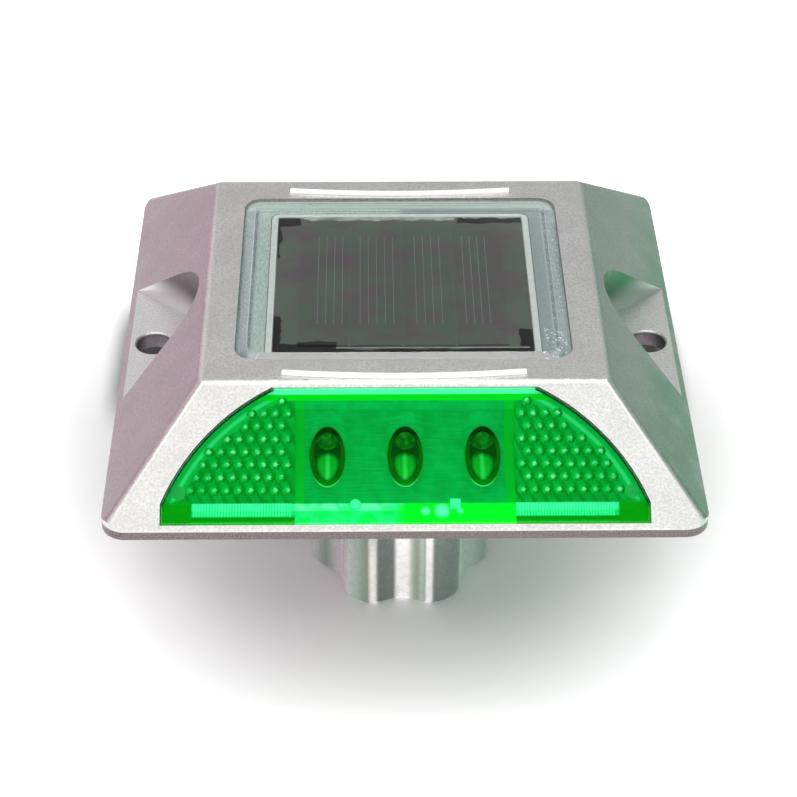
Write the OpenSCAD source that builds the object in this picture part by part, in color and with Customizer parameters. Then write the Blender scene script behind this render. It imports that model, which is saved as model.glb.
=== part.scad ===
// Solar road stud: a low cast head that sits on the road, with a lens on each long face,
// a window over a solar panel on top, and a hollow fluted stem that is bonded into the road.
// Millimetres. X runs across the lane and through the two fixing holes, Y along the lane
// with the front lens at -Y, Z up. The origin is the middle of the underside, at road level.

/* [Head] */
// Width of the head across the lane
base_w = 118; // [112:1:130]
// Depth of the head along the lane
base_d = 122; // [118:1:134]
// Height of the deck over the road
head_h = 20.8; // [20.4:0.1:23]
// Height of the vertical rim round the foot
rim_h = 2.3; // [2:0.1:3]
// Width of the deck between its side crests
top_w = 80.5; // [78:0.5:86]
// Depth of the deck between its front and rear crests
top_d = 75.5; // [74:0.5:80]
// Radius of the four upright corners
corner_r = 5; // [2:0.5:8]
// Radius of the soft crests round the deck
crest_r = 2.5; // [1:0.25:3]
// Radius of the soft hips between the slopes
hip_r = 2.5; // [1:0.25:4]

/* [Tyre bars] */
// Length of a bar, end to end
bar_len = 48; // [36:1:56]
// Radius of a bar's round top
bar_r = 0.75; // [0.5:0.05:0.9]
// Height of a bar over the deck
bar_rise = 0.8; // [0.4:0.1:1.2]
// How far the middle of a bar bows to the front
bar_bow = 1.3; // [0.8:0.1:2]
// How far the front bar's ends lie in from the front crest
front_bar_in = 2.65; // [2.2:0.05:3.2]
// How far the rear bar's ends lie in from the rear crest
rear_bar_in = 4.45; // [2.5:0.05:4.8]

/* [Fixing scallops] */
// Distance from the edge of the head to the middle of each fixing hole
hole_edge = 6.4; // [5.5:0.1:8]
// Diameter of a fixing hole
hole_d = 7.4; // [6:0.1:8]
// Thickness of the flange at the fixing holes
flange_t = 3.6; // [3:0.1:4.5]
// How far the inner end of a scallop lies outside the side crest
scallop_out = 2.15; // [1.8:0.05:4]
// Radius of a scallop's round inner end
scallop_r = 15.3; // [12:0.1:17]
// Angle at which a scallop's sides open outward
scallop_flare = 40; // [30:1:50]

/* [Window and solar panel] */
// Border of the deck beside the window
border_x = 6.45; // [5:0.05:8]
// Border of the deck in front of the window and behind it
border_y = 7.35; // [6.6:0.05:9]
// Thickness of the clear window
window_t = 4; // [3:0.1:4.5]
// Radius of the window's corners
window_r = 4; // [2:0.5:6]
// Width of the bevel round the window's top edge
bevel_w = 2.3; // [1:0.1:2.6]
// Height of the bevel round the window's top edge
bevel_h = 0.8; // [0.4:0.1:1.2]
// Thickness of the seal under the window
window_seal_t = 0.5; // [0.3:0.1:0.8]
// Width of the seal under the window
window_seal_w = 2.4; // [1.5:0.1:2.6]
// Rim of the deck's opening beside the solar panel
panel_rim_x = 1.6; // [1.2:0.1:3]
// Rim of the deck's opening in front of the solar panel and behind it
panel_rim_y = 1.4; // [1.2:0.1:3]
// Thickness of the panel's board
panel_t = 1.6; // [1:0.1:2]
// Thickness of the silicon strips
cell_t = 0.3; // [0.2:0.05:0.4]
// Number of silicon strips
cell_count = 4; // [2:1:6]

/* [Lens] */
// Half of the lens's width
lens_half_w = 47.4; // [46:0.1:48]
// Strip of bare slope under the lens
lens_foot = 1; // [0.8:0.1:1.4]
// Strip of bare slope over the lens
lens_head = 1.3; // [1:0.1:2]
// Radius of the lens's two shoulders
lens_arc_r = 45.1; // [44:0.1:46]
// How far each shoulder's centre lies from the middle
lens_arc_x = 5.6; // [5:0.1:6]
// How far the shoulders' centres lie below the foot of the slope
lens_arc_drop = 11.75; // [11:0.05:12.5]
// Thickness of the lens's face
lens_t = 3; // [2.5:0.1:3.2]
// Half of the width of the thick middle block
block_half_w = 21.4; // [20.5:0.1:22]
// Pitch of the prisms across the lens
prism_pitch_x = 2.36; // [2.2:0.02:4]
// Pitch of the prism rows up the lens
prism_pitch_v = 2.55; // [2.3:0.01:4]

/* [Lamps] */
// Distance between neighbouring LEDs
led_pitch = 15.1; // [14:0.1:15.4]
// Height of the LEDs over the road
led_z = 11.4; // [11:0.1:11.6]
// Diameter of an LED
led_d = 5; // [3:0.5:5]
// Diameter of the pocket round an LED in the lens
pocket_d = 7; // [6.6:0.1:7.6]
// Depth of the lens behind its face at the height of the LEDs
lamp_depth = 9.55; // [9.2:0.05:12]

/* [Anchor stem] */
// Length of the stem below the road
stem_len = 55; // [52:1:70]
// Radius over the stem's lobes
lobe_out = 19.8; // [19.4:0.1:21]
// Radius at the bottom of the stem's flutes
flute_in = 16.3; // [15.8:0.1:16.8]
// Radius of each lobe's own round
lobe_r = 6.4; // [5.6:0.1:6.8]
// Diameter of the bore that holds the battery
stem_bore_d = 27; // [26:0.5:28]
// Chamfer round the stem's lower end
stem_chamfer = 0.9; // [0.4:0.1:1.5]
// Thickness of the stem's floor
stem_floor = 4; // [3:0.5:6]

/* [Base] */
// Thickness of the base plate
plate_t = 2.5; // [2:0.1:2.6]
// Thickness of the gasket on the base plate
gasket_t = 0.8; // [0.5:0.1:1]
// Width of the gasket
gasket_w = 2.6; // [2:0.1:3]

/* [Battery] */
// Diameter of the battery cell
battery_d = 18.2; // [14:0.1:18.6]
// Length of the battery cell
battery_len = 49.5; // [44:0.5:49.5]

/* [Fits] */
// Clearance between pieces that slip together
fit = 0.15; // [0.1:0.05:0.2]

/* [Hidden] */
$fn = 48;
eps = 0.01;
far = 300;

// Slopes of the head
rise = head_h - rim_h;
front_run = (base_d - top_d) / 2;
side_run = (base_w - top_w) / 2;
front_a = atan2(rise, front_run);
side_a = atan2(rise, side_run);
front_len = norm([front_run, rise]);
bar_root = 3;

// A hip runs from a corner of the deck down to a corner of the rim
hip_len = norm([side_run, front_run, rise]);
hip_tilt = acos(-rise / hip_len);
hip_turn = atan2(-front_run, side_run);
hip_fold = acos(cos(front_a) * cos(side_a));
hip_out = [sin(side_a), -sin(front_a), cos(front_a) + cos(side_a)];
hip_roll = atan2(
    hip_out * [-sin(hip_turn), cos(hip_turn), 0],
    hip_out * [cos(hip_tilt) * cos(hip_turn), cos(hip_tilt) * sin(hip_turn), -sin(hip_tilt)]);

// Fixing holes and scallops
hole_x = base_w / 2 - hole_edge;
hole_chamfer = 0.5;
scallop_in = top_w / 2 + scallop_out;

// Window, the opening in the deck under it, and the panel in that opening
window_w = top_w - 2 * border_x;
window_d = top_d - 2 * border_y;
window_ledge_x = 5.8;
window_ledge_y = 3;
window_ledge_t = 2;
opening_w = window_w - 2 * window_ledge_x;
opening_d = window_d - 2 * window_ledge_y;
opening_r = 2;
panel_w = opening_w - 2 * panel_rim_x;
panel_d = opening_d - 2 * panel_rim_y;
cell_border_x = 5;
cell_border_y = 3.5;
strip_gap = 0.6;

// Levels from the road up
lens_floor_z = 2;
ledge_z = plate_t + gasket_t;
window_z = head_h - window_t;
deck_ledge_z = window_z - window_seal_t;
cavity_top_z = deck_ledge_z - window_ledge_t;
cell_gap = 0.3;
panel_z = window_z - cell_gap - cell_t - panel_t;
tray_rim_z = deck_ledge_z + 0.1;
tray_t = 1.5;
tray_z = cavity_top_z - tray_t;
board_t = 1.6;
board_drop = 3.2;
board_top_z = tray_z - board_drop;
board_z = board_top_z - board_t;

// Hollow of the head: the lamp bays stand a set depth behind the lens faces,
// and the tray's hollow ends just behind the LED boards
scallop_wall = 1.8;
plate_margin = 3.6;
plate_r = 4;
plate_half_w = scallop_in - scallop_wall;
cavity_half_w = plate_half_w - plate_margin;
bay_side = 3.4;
bay_half_w = led_pitch + led_d / 2 + bay_side;
lamp_wall_t = 1.9;
lamp_face = base_d / 2 - (led_z - rim_h) / tan(front_a);
block_back = lamp_face - lamp_depth;
block_gap = 0.5;
chamber_back = block_back - block_gap;
bay_half_d = chamber_back - lamp_wall_t;
bay_step = 1;
cavity_half_d = bay_half_d - board_t - bay_step;
cavity_r = 2;
plate_half_d = bay_half_d + plate_margin;
boss_r = 4;
boss_inset = 4.4;
boss_x = cavity_half_w - boss_inset;
boss_y = cavity_half_d - boss_inset;
port_d = 6.6;

// Lens
lens_top = front_len - lens_head;
lens_seal_t = 0.4;
lens_seal_w = 2.3;
lens_chamber_t = lens_t + 1.6;
pocket_skin = 0.8;
prism_r = 1.28;
prism_h = prism_r / sqrt(2);
prism_edge = 0.8;
prism_foot = 7;
prism_head = 2.33;
block_floor_z = 5;
peg_x = 9.7;
peg_v = 5.4;
peg_r = 1.2;
peg_gap = 0.3;
led_board_z = 4.6;
led_board_top = cavity_top_z - 0.2;

// Fasteners
m3_d = 3;
m3_head_d = 6;
m3_head_h = 1.7;
m3_play = 0.4;
base_screw_len = 9;
tap_d = 2;
tap_head_d = 3.8;
tap_head_h = 1.2;
tap_bite = 3;
tap_play = 0.4;
blind_gap = 0.2;
carrier_bite = window_ledge_t - 0.5;
carrier_screw_x = 24;
carrier_screw_y = (opening_d / 2 + cavity_half_d) / 2;
board_w = 62;
board_d = 50;
board_r = 1.5;
post_inset = 4;
board_post_x = board_w / 2 - post_inset;
board_post_y = board_d / 2 - post_inset;
board_post_r = 3;

// Legs of an LED
led_len = 8.6;
led_flange = 0.4;
led_flange_t = 1;
leg_x = 1.27;
leg_d = 0.6;
leg_out = 0.8;

// Parts on the main board, placed from its middle
chip_x = -14;
chip_y = 2;
chip_w = 4;
chip_d = 5;
chip_h = 1.6;
pin_pitch = 1.27;
pin_t = 0.4;
pin_out = 1;
coil_x = 18;
coil_y = 6;
coil_r = 4;
coil_waist_r = 3.2;
coil_h = 4;
coil_flange = 0.8;
can_x = -22;
can_y = 7;
can_r = 3.1;
can_h = 4.6;
can_foot_w = 6.6;
can_foot_t = 0.6;
drive_x = 12;
drive_y = 17;
drive_w = 3;
drive_d = 1.4;
drive_h = 1.1;
drive_pin_w = 0.4;
drive_pin_x = 1;
drive_pin_y = 0.9;
drive_pin_t = 0.3;
diode_x = 6;
diode_y = 8;
diode_w = 4.4;
diode_d = 2.8;
diode_h = 2.1;
diode_pin_w = 1.6;
diode_pin_out = 0.6;
seat_gap = 0.1;

// Leads, battery tabs and sleeve
lead_r = 0.6;
lead_play = 0.4;
panel_lead_x = 4;
panel_lead_in = 8;
panel_lead_y = panel_d / 2 - panel_lead_in;
led_lead_x = 6;
tab_t = 0.25;
tab_w = 6;
tab_past = 1;
nub_d = 6;
nub_h = 0.8;
sleeve_floor = 1.5;
sleeve_below = 4;
sleeve_play = 0.1;
battery_z = -stem_len + stem_floor + sleeve_floor + tab_t;
lead_groove_x = battery_d / 2 + 2;

// A rectangle with round corners, in the middle of the plane
module round_rect(w, d, r) {
    square([w, d - 2 * r], center = true);
    square([w - 2 * r, d], center = true);
    for (x = [-1, 1], y = [-1, 1])
        translate([x * (w / 2 - r), y * (d / 2 - r)])
            circle(r);
}

// Mirrors children into all four corners
module at_corners(x, y) {
    for (i = [0, 1], j = [0, 1])
        mirror([i, 0, 0])
            mirror([0, j, 0])
                translate([x, y, 0])
                    children();
}

// Half of the head's outline, from the foot over the soft crest to the middle of the deck
module half_profile(half_foot, half_top, slope_a) {
    cx = half_top - crest_r * tan(slope_a / 2);
    cz = head_h - crest_r;
    polygon([
        [0, 0], [half_foot, 0], [half_foot, rim_h],
        [cx + crest_r * sin(slope_a), cz + crest_r * cos(slope_a)],
        [cx, cz], [cx, head_h], [0, head_h]
    ]);
    translate([cx, cz])
        circle(crest_r);
}

module ridge(half_foot, half_top, slope_a, length) {
    rotate([90, 0, 0])
        linear_extrude(length, center = true) {
            half_profile(half_foot, half_top, slope_a);
            mirror([1, 0])
                half_profile(half_foot, half_top, slope_a);
        }
}

// What is cut away to round one hip: the sharp edge outside a long cylinder
module hip_cut() {
    over = 4;
    reach = hip_r / cos(hip_fold / 2) + 1;
    translate([top_w / 2, -top_d / 2, head_h])
        rotate([0, hip_tilt, hip_turn])
            rotate([0, 0, hip_roll])
                translate([-hip_r / cos(hip_fold / 2) + eps, 0, -over])
                    linear_extrude(hip_len + 2 * over)
                        difference() {
                            polygon([
                                [0, 0],
                                reach * [cos(hip_fold / 2), -sin(hip_fold / 2)],
                                reach * [1.4, 0],
                                reach * [cos(hip_fold / 2), sin(hip_fold / 2)]
                            ]);
                            circle(hip_r, $fn = 96);
                        }
}

// The head as a solid block, before anything is cut from it
module head_form() {
    difference() {
        intersection() {
            ridge(base_w / 2, top_w / 2, side_a, base_d);
            rotate([0, 0, 90])
                ridge(base_d / 2, top_d / 2, front_a, base_w);
            linear_extrude(head_h)
                round_rect(base_w, base_d, corner_r);
        }
        for (i = [0, 1], j = [0, 1])
            mirror([i, 0, 0])
                mirror([0, j, 0])
                    hip_cut();
    }
}

// One tyre bar: a round bead along a shallow arc, sunk into the deck
module tyre_bar(end_y) {
    arc_r = (pow(bar_len / 2, 2) + pow(bar_bow, 2)) / (2 * bar_bow);
    arc_a = asin(bar_len / 2 / arc_r);
    translate([0, end_y - bar_bow + arc_r, head_h + bar_rise - bar_r])
        rotate([0, 0, -90 - arc_a])
            rotate_extrude(angle = 2 * arc_a, $fn = 720)
                translate([arc_r, 0]) {
                    circle(bar_r, $fn = 24);
                    translate([-bar_r, -bar_root])
                        square([2 * bar_r, bar_root]);
                }
}

// A scallop: a round inner end with two straight sides that flare outward
module scallop_plan() {
    cx = scallop_in + scallop_r;
    tx = cx - scallop_r * sin(scallop_flare);
    ty = scallop_r * cos(scallop_flare);
    out_x = base_w / 2 + 4;
    out_y = ty + (out_x - tx) * tan(scallop_flare);
    translate([cx, 0])
        circle(scallop_r, $fn = 96);
    polygon([[tx, -ty], [out_x, -out_y], [out_x, out_y], [tx, ty]]);
}

module fixing_hole() {
    translate([hole_x, 0, -eps])
        cylinder(h = flange_t + 2 * eps, d = hole_d);
    translate([hole_x, 0, flange_t - hole_chamfer])
        cylinder(h = hole_chamfer + eps, d1 = hole_d, d2 = hole_d + 2 * hole_chamfer);
}

module scallop() {
    translate([0, 0, flange_t])
        linear_extrude(head_h)
            scallop_plan();
    fixing_hole();
}

// Places children on the front slope: X across, Y up the slope, Z out of its face
module on_slope() {
    translate([0, -base_d / 2, rim_h])
        rotate([front_a, 0, 0])
            children();
}

// Half of the lens outline, drawn in by a margin all round
module half_lens_plan(inset) {
    intersection() {
        translate([lens_arc_x, -lens_arc_drop])
            circle(lens_arc_r - inset, $fn = 180);
        translate([-1, lens_foot + inset])
            square([lens_half_w - inset + 1, lens_top - lens_foot - 2 * inset]);
    }
}

module lens_plan(inset = 0) {
    half_lens_plan(inset);
    mirror([1, 0])
        half_lens_plan(inset);
}

// A slab of the lens outline that reaches from one depth under the slope to another
module lens_slab(inset, deep, shallow) {
    on_slope()
        translate([0, 0, -deep])
            linear_extrude(deep - shallow)
                lens_plan(inset);
}

module above(z) {
    translate([-far / 2, -far / 2, z])
        cube([far, far, far]);
}

module in_front_of(back) {
    translate([-far / 2, -far - back, -far / 2])
        cube([far, far, far]);
}

module beyond(half_w) {
    for (s = [0, 1])
        mirror([s, 0, 0])
            translate([half_w, -far / 2, -far / 2])
                cube([far, far, far]);
}

module at_lamps() {
    for (i = [-1, 0, 1])
        translate([i * led_pitch, 0, led_z])
            children();
}

// Everything that is cut from the head for one lens and its lamps
module lens_recess() {
    intersection() {
        lens_slab(0, lens_t + lens_seal_t, -5);
        above(lens_floor_z);
    }
    intersection() {
        lens_slab(lens_seal_w, lens_chamber_t, 0);
        above(lens_floor_z);
        union() {
            in_front_of(chamber_back);
            beyond(block_half_w);
        }
    }
    intersection() {
        on_slope()
            translate([-block_half_w - fit, lens_foot + lens_seal_w, -far])
                cube([2 * (block_half_w + fit), lens_top - lens_foot - 2 * lens_seal_w, far]);
        above(block_floor_z - 0.2);
        in_front_of(chamber_back);
    }
    translate([0, -bay_half_d, 0])
        at_lamps()
            rotate([90, 0, 0])
                translate([0, 0, -1])
                    cylinder(h = lamp_wall_t + 2, d = port_d);
}

// A screw boss that is joined to both walls of its corner
module boss_plan(r) {
    circle(r);
    translate([0, -r])
        square([far, far]);
    translate([-r, 0])
        square([far, far]);
}

// The hollow under the deck, open below
module head_hollow() {
    translate([0, 0, -eps])
        linear_extrude(ledge_z + eps)
            round_rect(2 * (plate_half_w + fit), 2 * (plate_half_d + fit), plate_r);
    difference() {
        linear_extrude(cavity_top_z) {
            round_rect(2 * cavity_half_w, 2 * cavity_half_d, cavity_r);
            square([2 * bay_half_w, 2 * bay_half_d], center = true);
        }
        translate([0, 0, ledge_z])
            linear_extrude(far)
                at_corners(boss_x, boss_y)
                    boss_plan(boss_r);
    }
}

module window_pocket() {
    translate([0, 0, deck_ledge_z])
        linear_extrude(far)
            round_rect(window_w, window_d, window_r);
    translate([0, 0, cavity_top_z - 1])
        linear_extrude(far)
            round_rect(opening_w, opening_d, opening_r);
}

module housing() {
    color("silver")
        difference() {
            union() {
                head_form();
                tyre_bar(front_bar_in - top_d / 2);
                tyre_bar(top_d / 2 - rear_bar_in);
            }
            head_hollow();
            window_pocket();
            for (s = [0, 180])
                rotate([0, 0, s]) {
                    scallop();
                    lens_recess();
                }
            at_corners(boss_x, boss_y)
                cylinder(h = base_screw_len + 1, d = m3_d - m3_play);
            at_corners(carrier_screw_x, carrier_screw_y)
                translate([0, 0, cavity_top_z - 1])
                    cylinder(h = carrier_bite + blind_gap + 1, d = tap_d - tap_play);
        }
}

// Points along an arc, from one angle to just before another
function arc(centre, r, from_a, to_a, steps = 8) =
    [for (k = [0:steps - 1]) let (a = from_a + (to_a - from_a) * k / steps)
        centre + r * [cos(a), sin(a)]];

// Outline of the fluted stem: round lobes that run tangent into round flutes
module stem_plan() {
    lobe_c = lobe_out - lobe_r;
    flute_r = (pow(flute_in, 2) + pow(lobe_c, 2) - 2 * lobe_c * flute_in * cos(30)
        - pow(lobe_r, 2)) / (2 * (lobe_r + lobe_c * cos(30) - flute_in));
    flute_c = flute_in + flute_r;
    lobe_a = atan2(flute_c * sin(30), flute_c * cos(30) - lobe_c);
    flute_a = lobe_a - 30;
    polygon([for (i = [0:5]) let (a = 60 * i, b = a + 30)
        each concat(
            arc(lobe_c * [cos(a), sin(a)], lobe_r, a - lobe_a, a + lobe_a),
            arc(flute_c * [cos(b), sin(b)], flute_r, b + 180 + flute_a, b + 180 - flute_a))]);
}

// The base plate and its hollow stem are one casting
module anchor_base() {
    color("lightgray")
        difference() {
            union() {
                linear_extrude(plate_t)
                    round_rect(2 * plate_half_w, 2 * plate_half_d, plate_r);
                translate([0, 0, -stem_len + stem_chamfer])
                    linear_extrude(stem_len - stem_chamfer + 1)
                        stem_plan();
                translate([0, 0, -stem_len + stem_chamfer])
                    mirror([0, 0, 1])
                        linear_extrude(stem_chamfer, scale = 1 - stem_chamfer / lobe_out)
                            stem_plan();
            }
            translate([0, 0, -stem_len + stem_floor])
                cylinder(h = far, d = stem_bore_d);
            at_corners(boss_x, boss_y) {
                translate([0, 0, -eps])
                    cylinder(h = plate_t + 1, d = m3_d + m3_play);
                translate([0, 0, -eps])
                    cylinder(h = m3_head_h, d1 = m3_head_d + m3_play, d2 = m3_d + m3_play);
            }
        }
}

module base_gasket() {
    color("dimgray")
        translate([0, 0, plate_t])
            linear_extrude(gasket_t)
                difference() {
                    round_rect(2 * plate_half_w, 2 * plate_half_d, plate_r);
                    round_rect(2 * (plate_half_w - gasket_w), 2 * (plate_half_d - gasket_w),
                        plate_r - gasket_w);
                }
}

module countersunk_screw() {
    cylinder(h = m3_head_h, d1 = m3_head_d, d2 = m3_d);
    cylinder(h = base_screw_len, d = m3_d - m3_play);
}

module base_screws() {
    color("gainsboro")
        at_corners(boss_x, boss_y)
            countersunk_screw();
}

module pan_screw(length) {
    translate([0, 0, -tap_head_h])
        cylinder(h = tap_head_h, d = tap_head_d);
    cylinder(h = length, d = tap_d - tap_play);
}

module carrier_screws() {
    color("gainsboro")
        at_corners(carrier_screw_x, carrier_screw_y)
            translate([0, 0, tray_z])
                pan_screw(tray_t + carrier_bite);
}

module board_screws() {
    color("gainsboro")
        at_corners(board_post_x, board_post_y)
            translate([0, 0, board_z])
                pan_screw(board_t + tap_bite);
}

module top_window() {
    color([0.75, 0.85, 0.82, 0.5])
        translate([0, 0, window_z]) {
            w = window_w - 2 * fit;
            d = window_d - 2 * fit;
            linear_extrude(window_t - bevel_h)
                round_rect(w, d, window_r - fit);
            hull() {
                translate([0, 0, window_t - bevel_h - eps])
                    linear_extrude(eps)
                        round_rect(w, d, window_r - fit, $fn = 32);
                translate([0, 0, window_t - eps])
                    linear_extrude(eps)
                        round_rect(w - 2 * bevel_w, d - 2 * bevel_w,
                            window_r - fit - bevel_w / 2, $fn = 32);
            }
        }
}

module window_seal() {
    color("lightcyan")
        translate([0, 0, deck_ledge_z])
            linear_extrude(window_seal_t)
                difference() {
                    round_rect(window_w - 2 * fit, window_d - 2 * fit, window_r - fit);
                    round_rect(window_w - 2 * window_seal_w, window_d - 2 * window_seal_w,
                        window_r - window_seal_w + 0.4);
                }
}

module solar_panel_board() {
    color([0.05, 0.06, 0.06])
        translate([0, 0, panel_z])
            linear_extrude(panel_t)
                square([panel_w, panel_d], center = true);
}

// Silicon strips side by side, each with a small gap to the next
module solar_cells() {
    field_w = panel_w - 2 * cell_border_x;
    field_d = panel_d - 2 * cell_border_y;
    strip_w = (field_w - (cell_count - 1) * strip_gap) / cell_count;
    color([0.2, 0.22, 0.22])
        for (i = [0:cell_count - 1])
            translate([-field_w / 2 + i * (strip_w + strip_gap), -field_d / 2, panel_z + panel_t])
                cube([strip_w, field_d, cell_t]);
}

// The tray hangs under the deck, and its platform lifts the panel into the opening
module carrier_tray() {
    color("whitesmoke")
        difference() {
            union() {
                translate([0, 0, tray_z])
                    linear_extrude(tray_t)
                        difference() {
                            round_rect(2 * (cavity_half_w - fit), 2 * (cavity_half_d - fit), cavity_r);
                            at_corners(boss_x, boss_y)
                                boss_plan(boss_r + 2 * fit);
                        }
                translate([0, 0, tray_z])
                    linear_extrude(tray_rim_z - tray_z)
                        round_rect(opening_w - 2 * fit, opening_d - 2 * fit, opening_r);
                at_corners(board_post_x, board_post_y)
                    translate([0, 0, board_top_z])
                        cylinder(h = tray_z - board_top_z + 0.5, r = board_post_r);
            }
            translate([0, 0, panel_z])
                linear_extrude(far)
                    square([panel_w + 2 * fit, panel_d + 2 * fit], center = true);
            at_corners(board_post_x, board_post_y)
                translate([0, 0, board_top_z - 1])
                    cylinder(h = tap_bite + blind_gap + 1, d = tap_d - tap_play);
            at_corners(carrier_screw_x, carrier_screw_y)
                translate([0, 0, tray_z - 1])
                    cylinder(h = tray_t + 2, d = tap_d + tap_play);
            at_panel_leads()
                translate([0, 0, tray_z - 1])
                    cylinder(h = far, r = lead_r + lead_play);
        }
}

module at_panel_leads() {
    for (x = [-panel_lead_x, panel_lead_x])
        translate([x, panel_lead_y, 0])
            children();
}

module main_board() {
    color("darkgreen")
        difference() {
            translate([0, 0, board_z])
                linear_extrude(board_t)
                    round_rect(board_w, board_d, board_r);
            at_corners(board_post_x, board_post_y)
                translate([0, 0, board_z - 1])
                    cylinder(h = board_t + 2, d = tap_d + tap_play);
        }
}

module control_chip() {
    color([0.1, 0.1, 0.1])
        translate([chip_x, chip_y, board_top_z]) {
            translate([-chip_w / 2, -chip_d / 2, seat_gap])
                cube([chip_w, chip_d, chip_h - seat_gap]);
            for (i = [-1.5:1.5], s = [0, 1])
                mirror([s, 0, 0])
                    translate([chip_w / 2 - pin_t, i * pin_pitch - pin_t / 2, 0])
                        cube([pin_t + pin_out, pin_t, pin_t]);
        }
}

module power_inductor() {
    color("saddlebrown")
        translate([coil_x, coil_y, board_z - coil_h]) {
            cylinder(h = coil_h, r = coil_waist_r);
            for (z = [0, coil_h - coil_flange])
                translate([0, 0, z])
                    cylinder(h = coil_flange, r = coil_r);
        }
}

module storage_capacitors() {
    color("steelblue")
        for (y = [-can_y, can_y])
            translate([can_x, y, board_z - can_h]) {
                cylinder(h = can_h - can_foot_t, r = can_r);
                translate([-can_foot_w / 2, -can_foot_w / 2, can_h - can_foot_t])
                    cube([can_foot_w, can_foot_w, can_foot_t]);
            }
}

module driver_transistors() {
    color([0.12, 0.12, 0.12])
        for (y = [-drive_y, drive_y])
            translate([drive_x, y, board_top_z]) {
                translate([-drive_w / 2, -drive_d / 2, seat_gap])
                    cube([drive_w, drive_d, drive_h - seat_gap]);
                for (p = [[-1, -1], [1, -1], [0, 1]])
                    translate([p[0] * drive_pin_x, p[1] * drive_pin_y, drive_pin_t / 2])
                        cube([drive_pin_w, 2.5 * drive_pin_w, drive_pin_t], center = true);
            }
}

module blocking_diode() {
    color([0.15, 0.15, 0.15])
        translate([diode_x, diode_y, board_top_z]) {
            translate([-diode_w / 2, -diode_d / 2, seat_gap])
                cube([diode_w, diode_d, diode_h - seat_gap]);
            translate([-diode_w / 2 - diode_pin_out, -diode_pin_w / 2, 0])
                cube([diode_w + 2 * diode_pin_out, diode_pin_w, pin_t]);
        }
}

module panel_leads() {
    color("firebrick")
        at_panel_leads()
            translate([0, 0, board_top_z])
                cylinder(h = panel_z - board_top_z, r = lead_r);
}

module battery_cell() {
    color("seagreen")
        translate([0, 0, battery_z]) {
            cylinder(h = battery_len - nub_h, d = battery_d);
            cylinder(h = battery_len, d = nub_d);
        }
}

// A foam cup that centres the cell in the stem, with a groove for the lower lead
module battery_sleeve() {
    sleeve_top = battery_z + battery_len - sleeve_below;
    groove_half = tab_w / 2 + sleeve_play;
    color([0.25, 0.25, 0.27])
        translate([0, 0, -stem_len + stem_floor])
            difference() {
                cylinder(h = sleeve_top + stem_len - stem_floor, d = stem_bore_d - 2 * fit);
                translate([0, 0, sleeve_floor])
                    cylinder(h = far, d = battery_d + 2 * fit);
                translate([-groove_half, -groove_half, sleeve_floor])
                    cube([groove_half + lead_groove_x + tab_past + sleeve_play,
                        2 * groove_half, far]);
            }
}

// Nickel strips on the two ends of the cell
module battery_tabs() {
    color("gainsboro") {
        translate([-tab_w / 2, -tab_w / 2, battery_z - tab_t])
            cube([tab_w / 2 + lead_groove_x + tab_past, tab_w, tab_t]);
        translate([-tab_w / 2, -tab_w / 2, battery_z + battery_len])
            cube([tab_w, tab_w, tab_t]);
    }
}

module battery_leads() {
    top_tab_z = battery_z + battery_len + tab_t;
    color("firebrick") {
        translate([0, 0, top_tab_z])
            cylinder(h = board_z - top_tab_z, r = lead_r);
        translate([lead_groove_x, 0, battery_z])
            cylinder(h = board_z - battery_z, r = lead_r);
    }
}

// True where a prism fits inside a wing of the lens
function in_wing(x, v) =
    x > block_half_w + prism_r + fit
    && v > prism_foot
    && norm([x - lens_arc_x, v + lens_arc_drop]) < lens_arc_r - lens_seal_w - prism_r - prism_edge
    && v < lens_top - lens_seal_w - prism_r / 2;

// Corner prisms in staggered rows on the back of both wings
module lens_prisms() {
    rows = floor(lens_top / prism_pitch_v);
    columns = ceil(lens_half_w / prism_pitch_x);
    on_slope()
        for (s = [-1, 1], j = [0:rows], i = [0:columns]) {
            x = (i + (j % 2) / 2) * prism_pitch_x;
            v = lens_top - prism_head - j * prism_pitch_v;
            if (in_wing(x, v))
                translate([s * x, v, -lens_t - prism_h])
                    rotate([0, 0, 30])
                        cylinder(h = prism_h + 0.05, r1 = 0, r2 = prism_r, $fn = 3);
        }
}

// Thick middle of the lens, cut square at the back, with a blind pocket for each LED
module lens_block() {
    foot = lens_foot + lens_seal_w + 1;
    intersection() {
        on_slope()
            translate([-block_half_w, foot, -far])
                cube([2 * block_half_w, lens_top - lens_seal_w - foot, far - lens_t + 0.5]);
        above(block_floor_z);
        in_front_of(block_back);
    }
}

// Two round pegs that locate the lens on the floor of its recess
module lens_pegs() {
    on_slope()
        for (s = [-1, 1])
            translate([s * peg_x, peg_v, peg_gap - lens_chamber_t])
                cylinder(h = lens_chamber_t - lens_t, r = peg_r);
}

module led_pockets() {
    intersection() {
        at_lamps()
            rotate([90, 0, 0])
                translate([0, 0, block_back - 1])
                    cylinder(h = base_d / 2, d = pocket_d);
        on_slope()
            translate([-far / 2, -far / 2, -far - pocket_skin])
                cube([far, far, far]);
    }
}

module lens() {
    color([0.05, 0.7, 0.25, 0.7])
        difference() {
            union() {
                intersection() {
                    union() {
                        lens_slab(fit, lens_t, 0);
                        lens_pegs();
                    }
                    above(lens_floor_z + lens_seal_t);
                }
                lens_block();
                lens_prisms();
            }
            led_pockets();
        }
}

// The seal lies behind the lens on three sides and under its foot on the fourth
module lens_seal() {
    color("dimgray")
        intersection() {
            above(lens_floor_z);
            difference() {
                lens_slab(fit, lens_t + lens_seal_t, 0);
                intersection() {
                    union() {
                        lens_slab(lens_seal_w, far, -far);
                        lens_slab(0, lens_t, -1);
                    }
                    above(lens_floor_z + lens_seal_t);
                }
            }
        }
}

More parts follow.
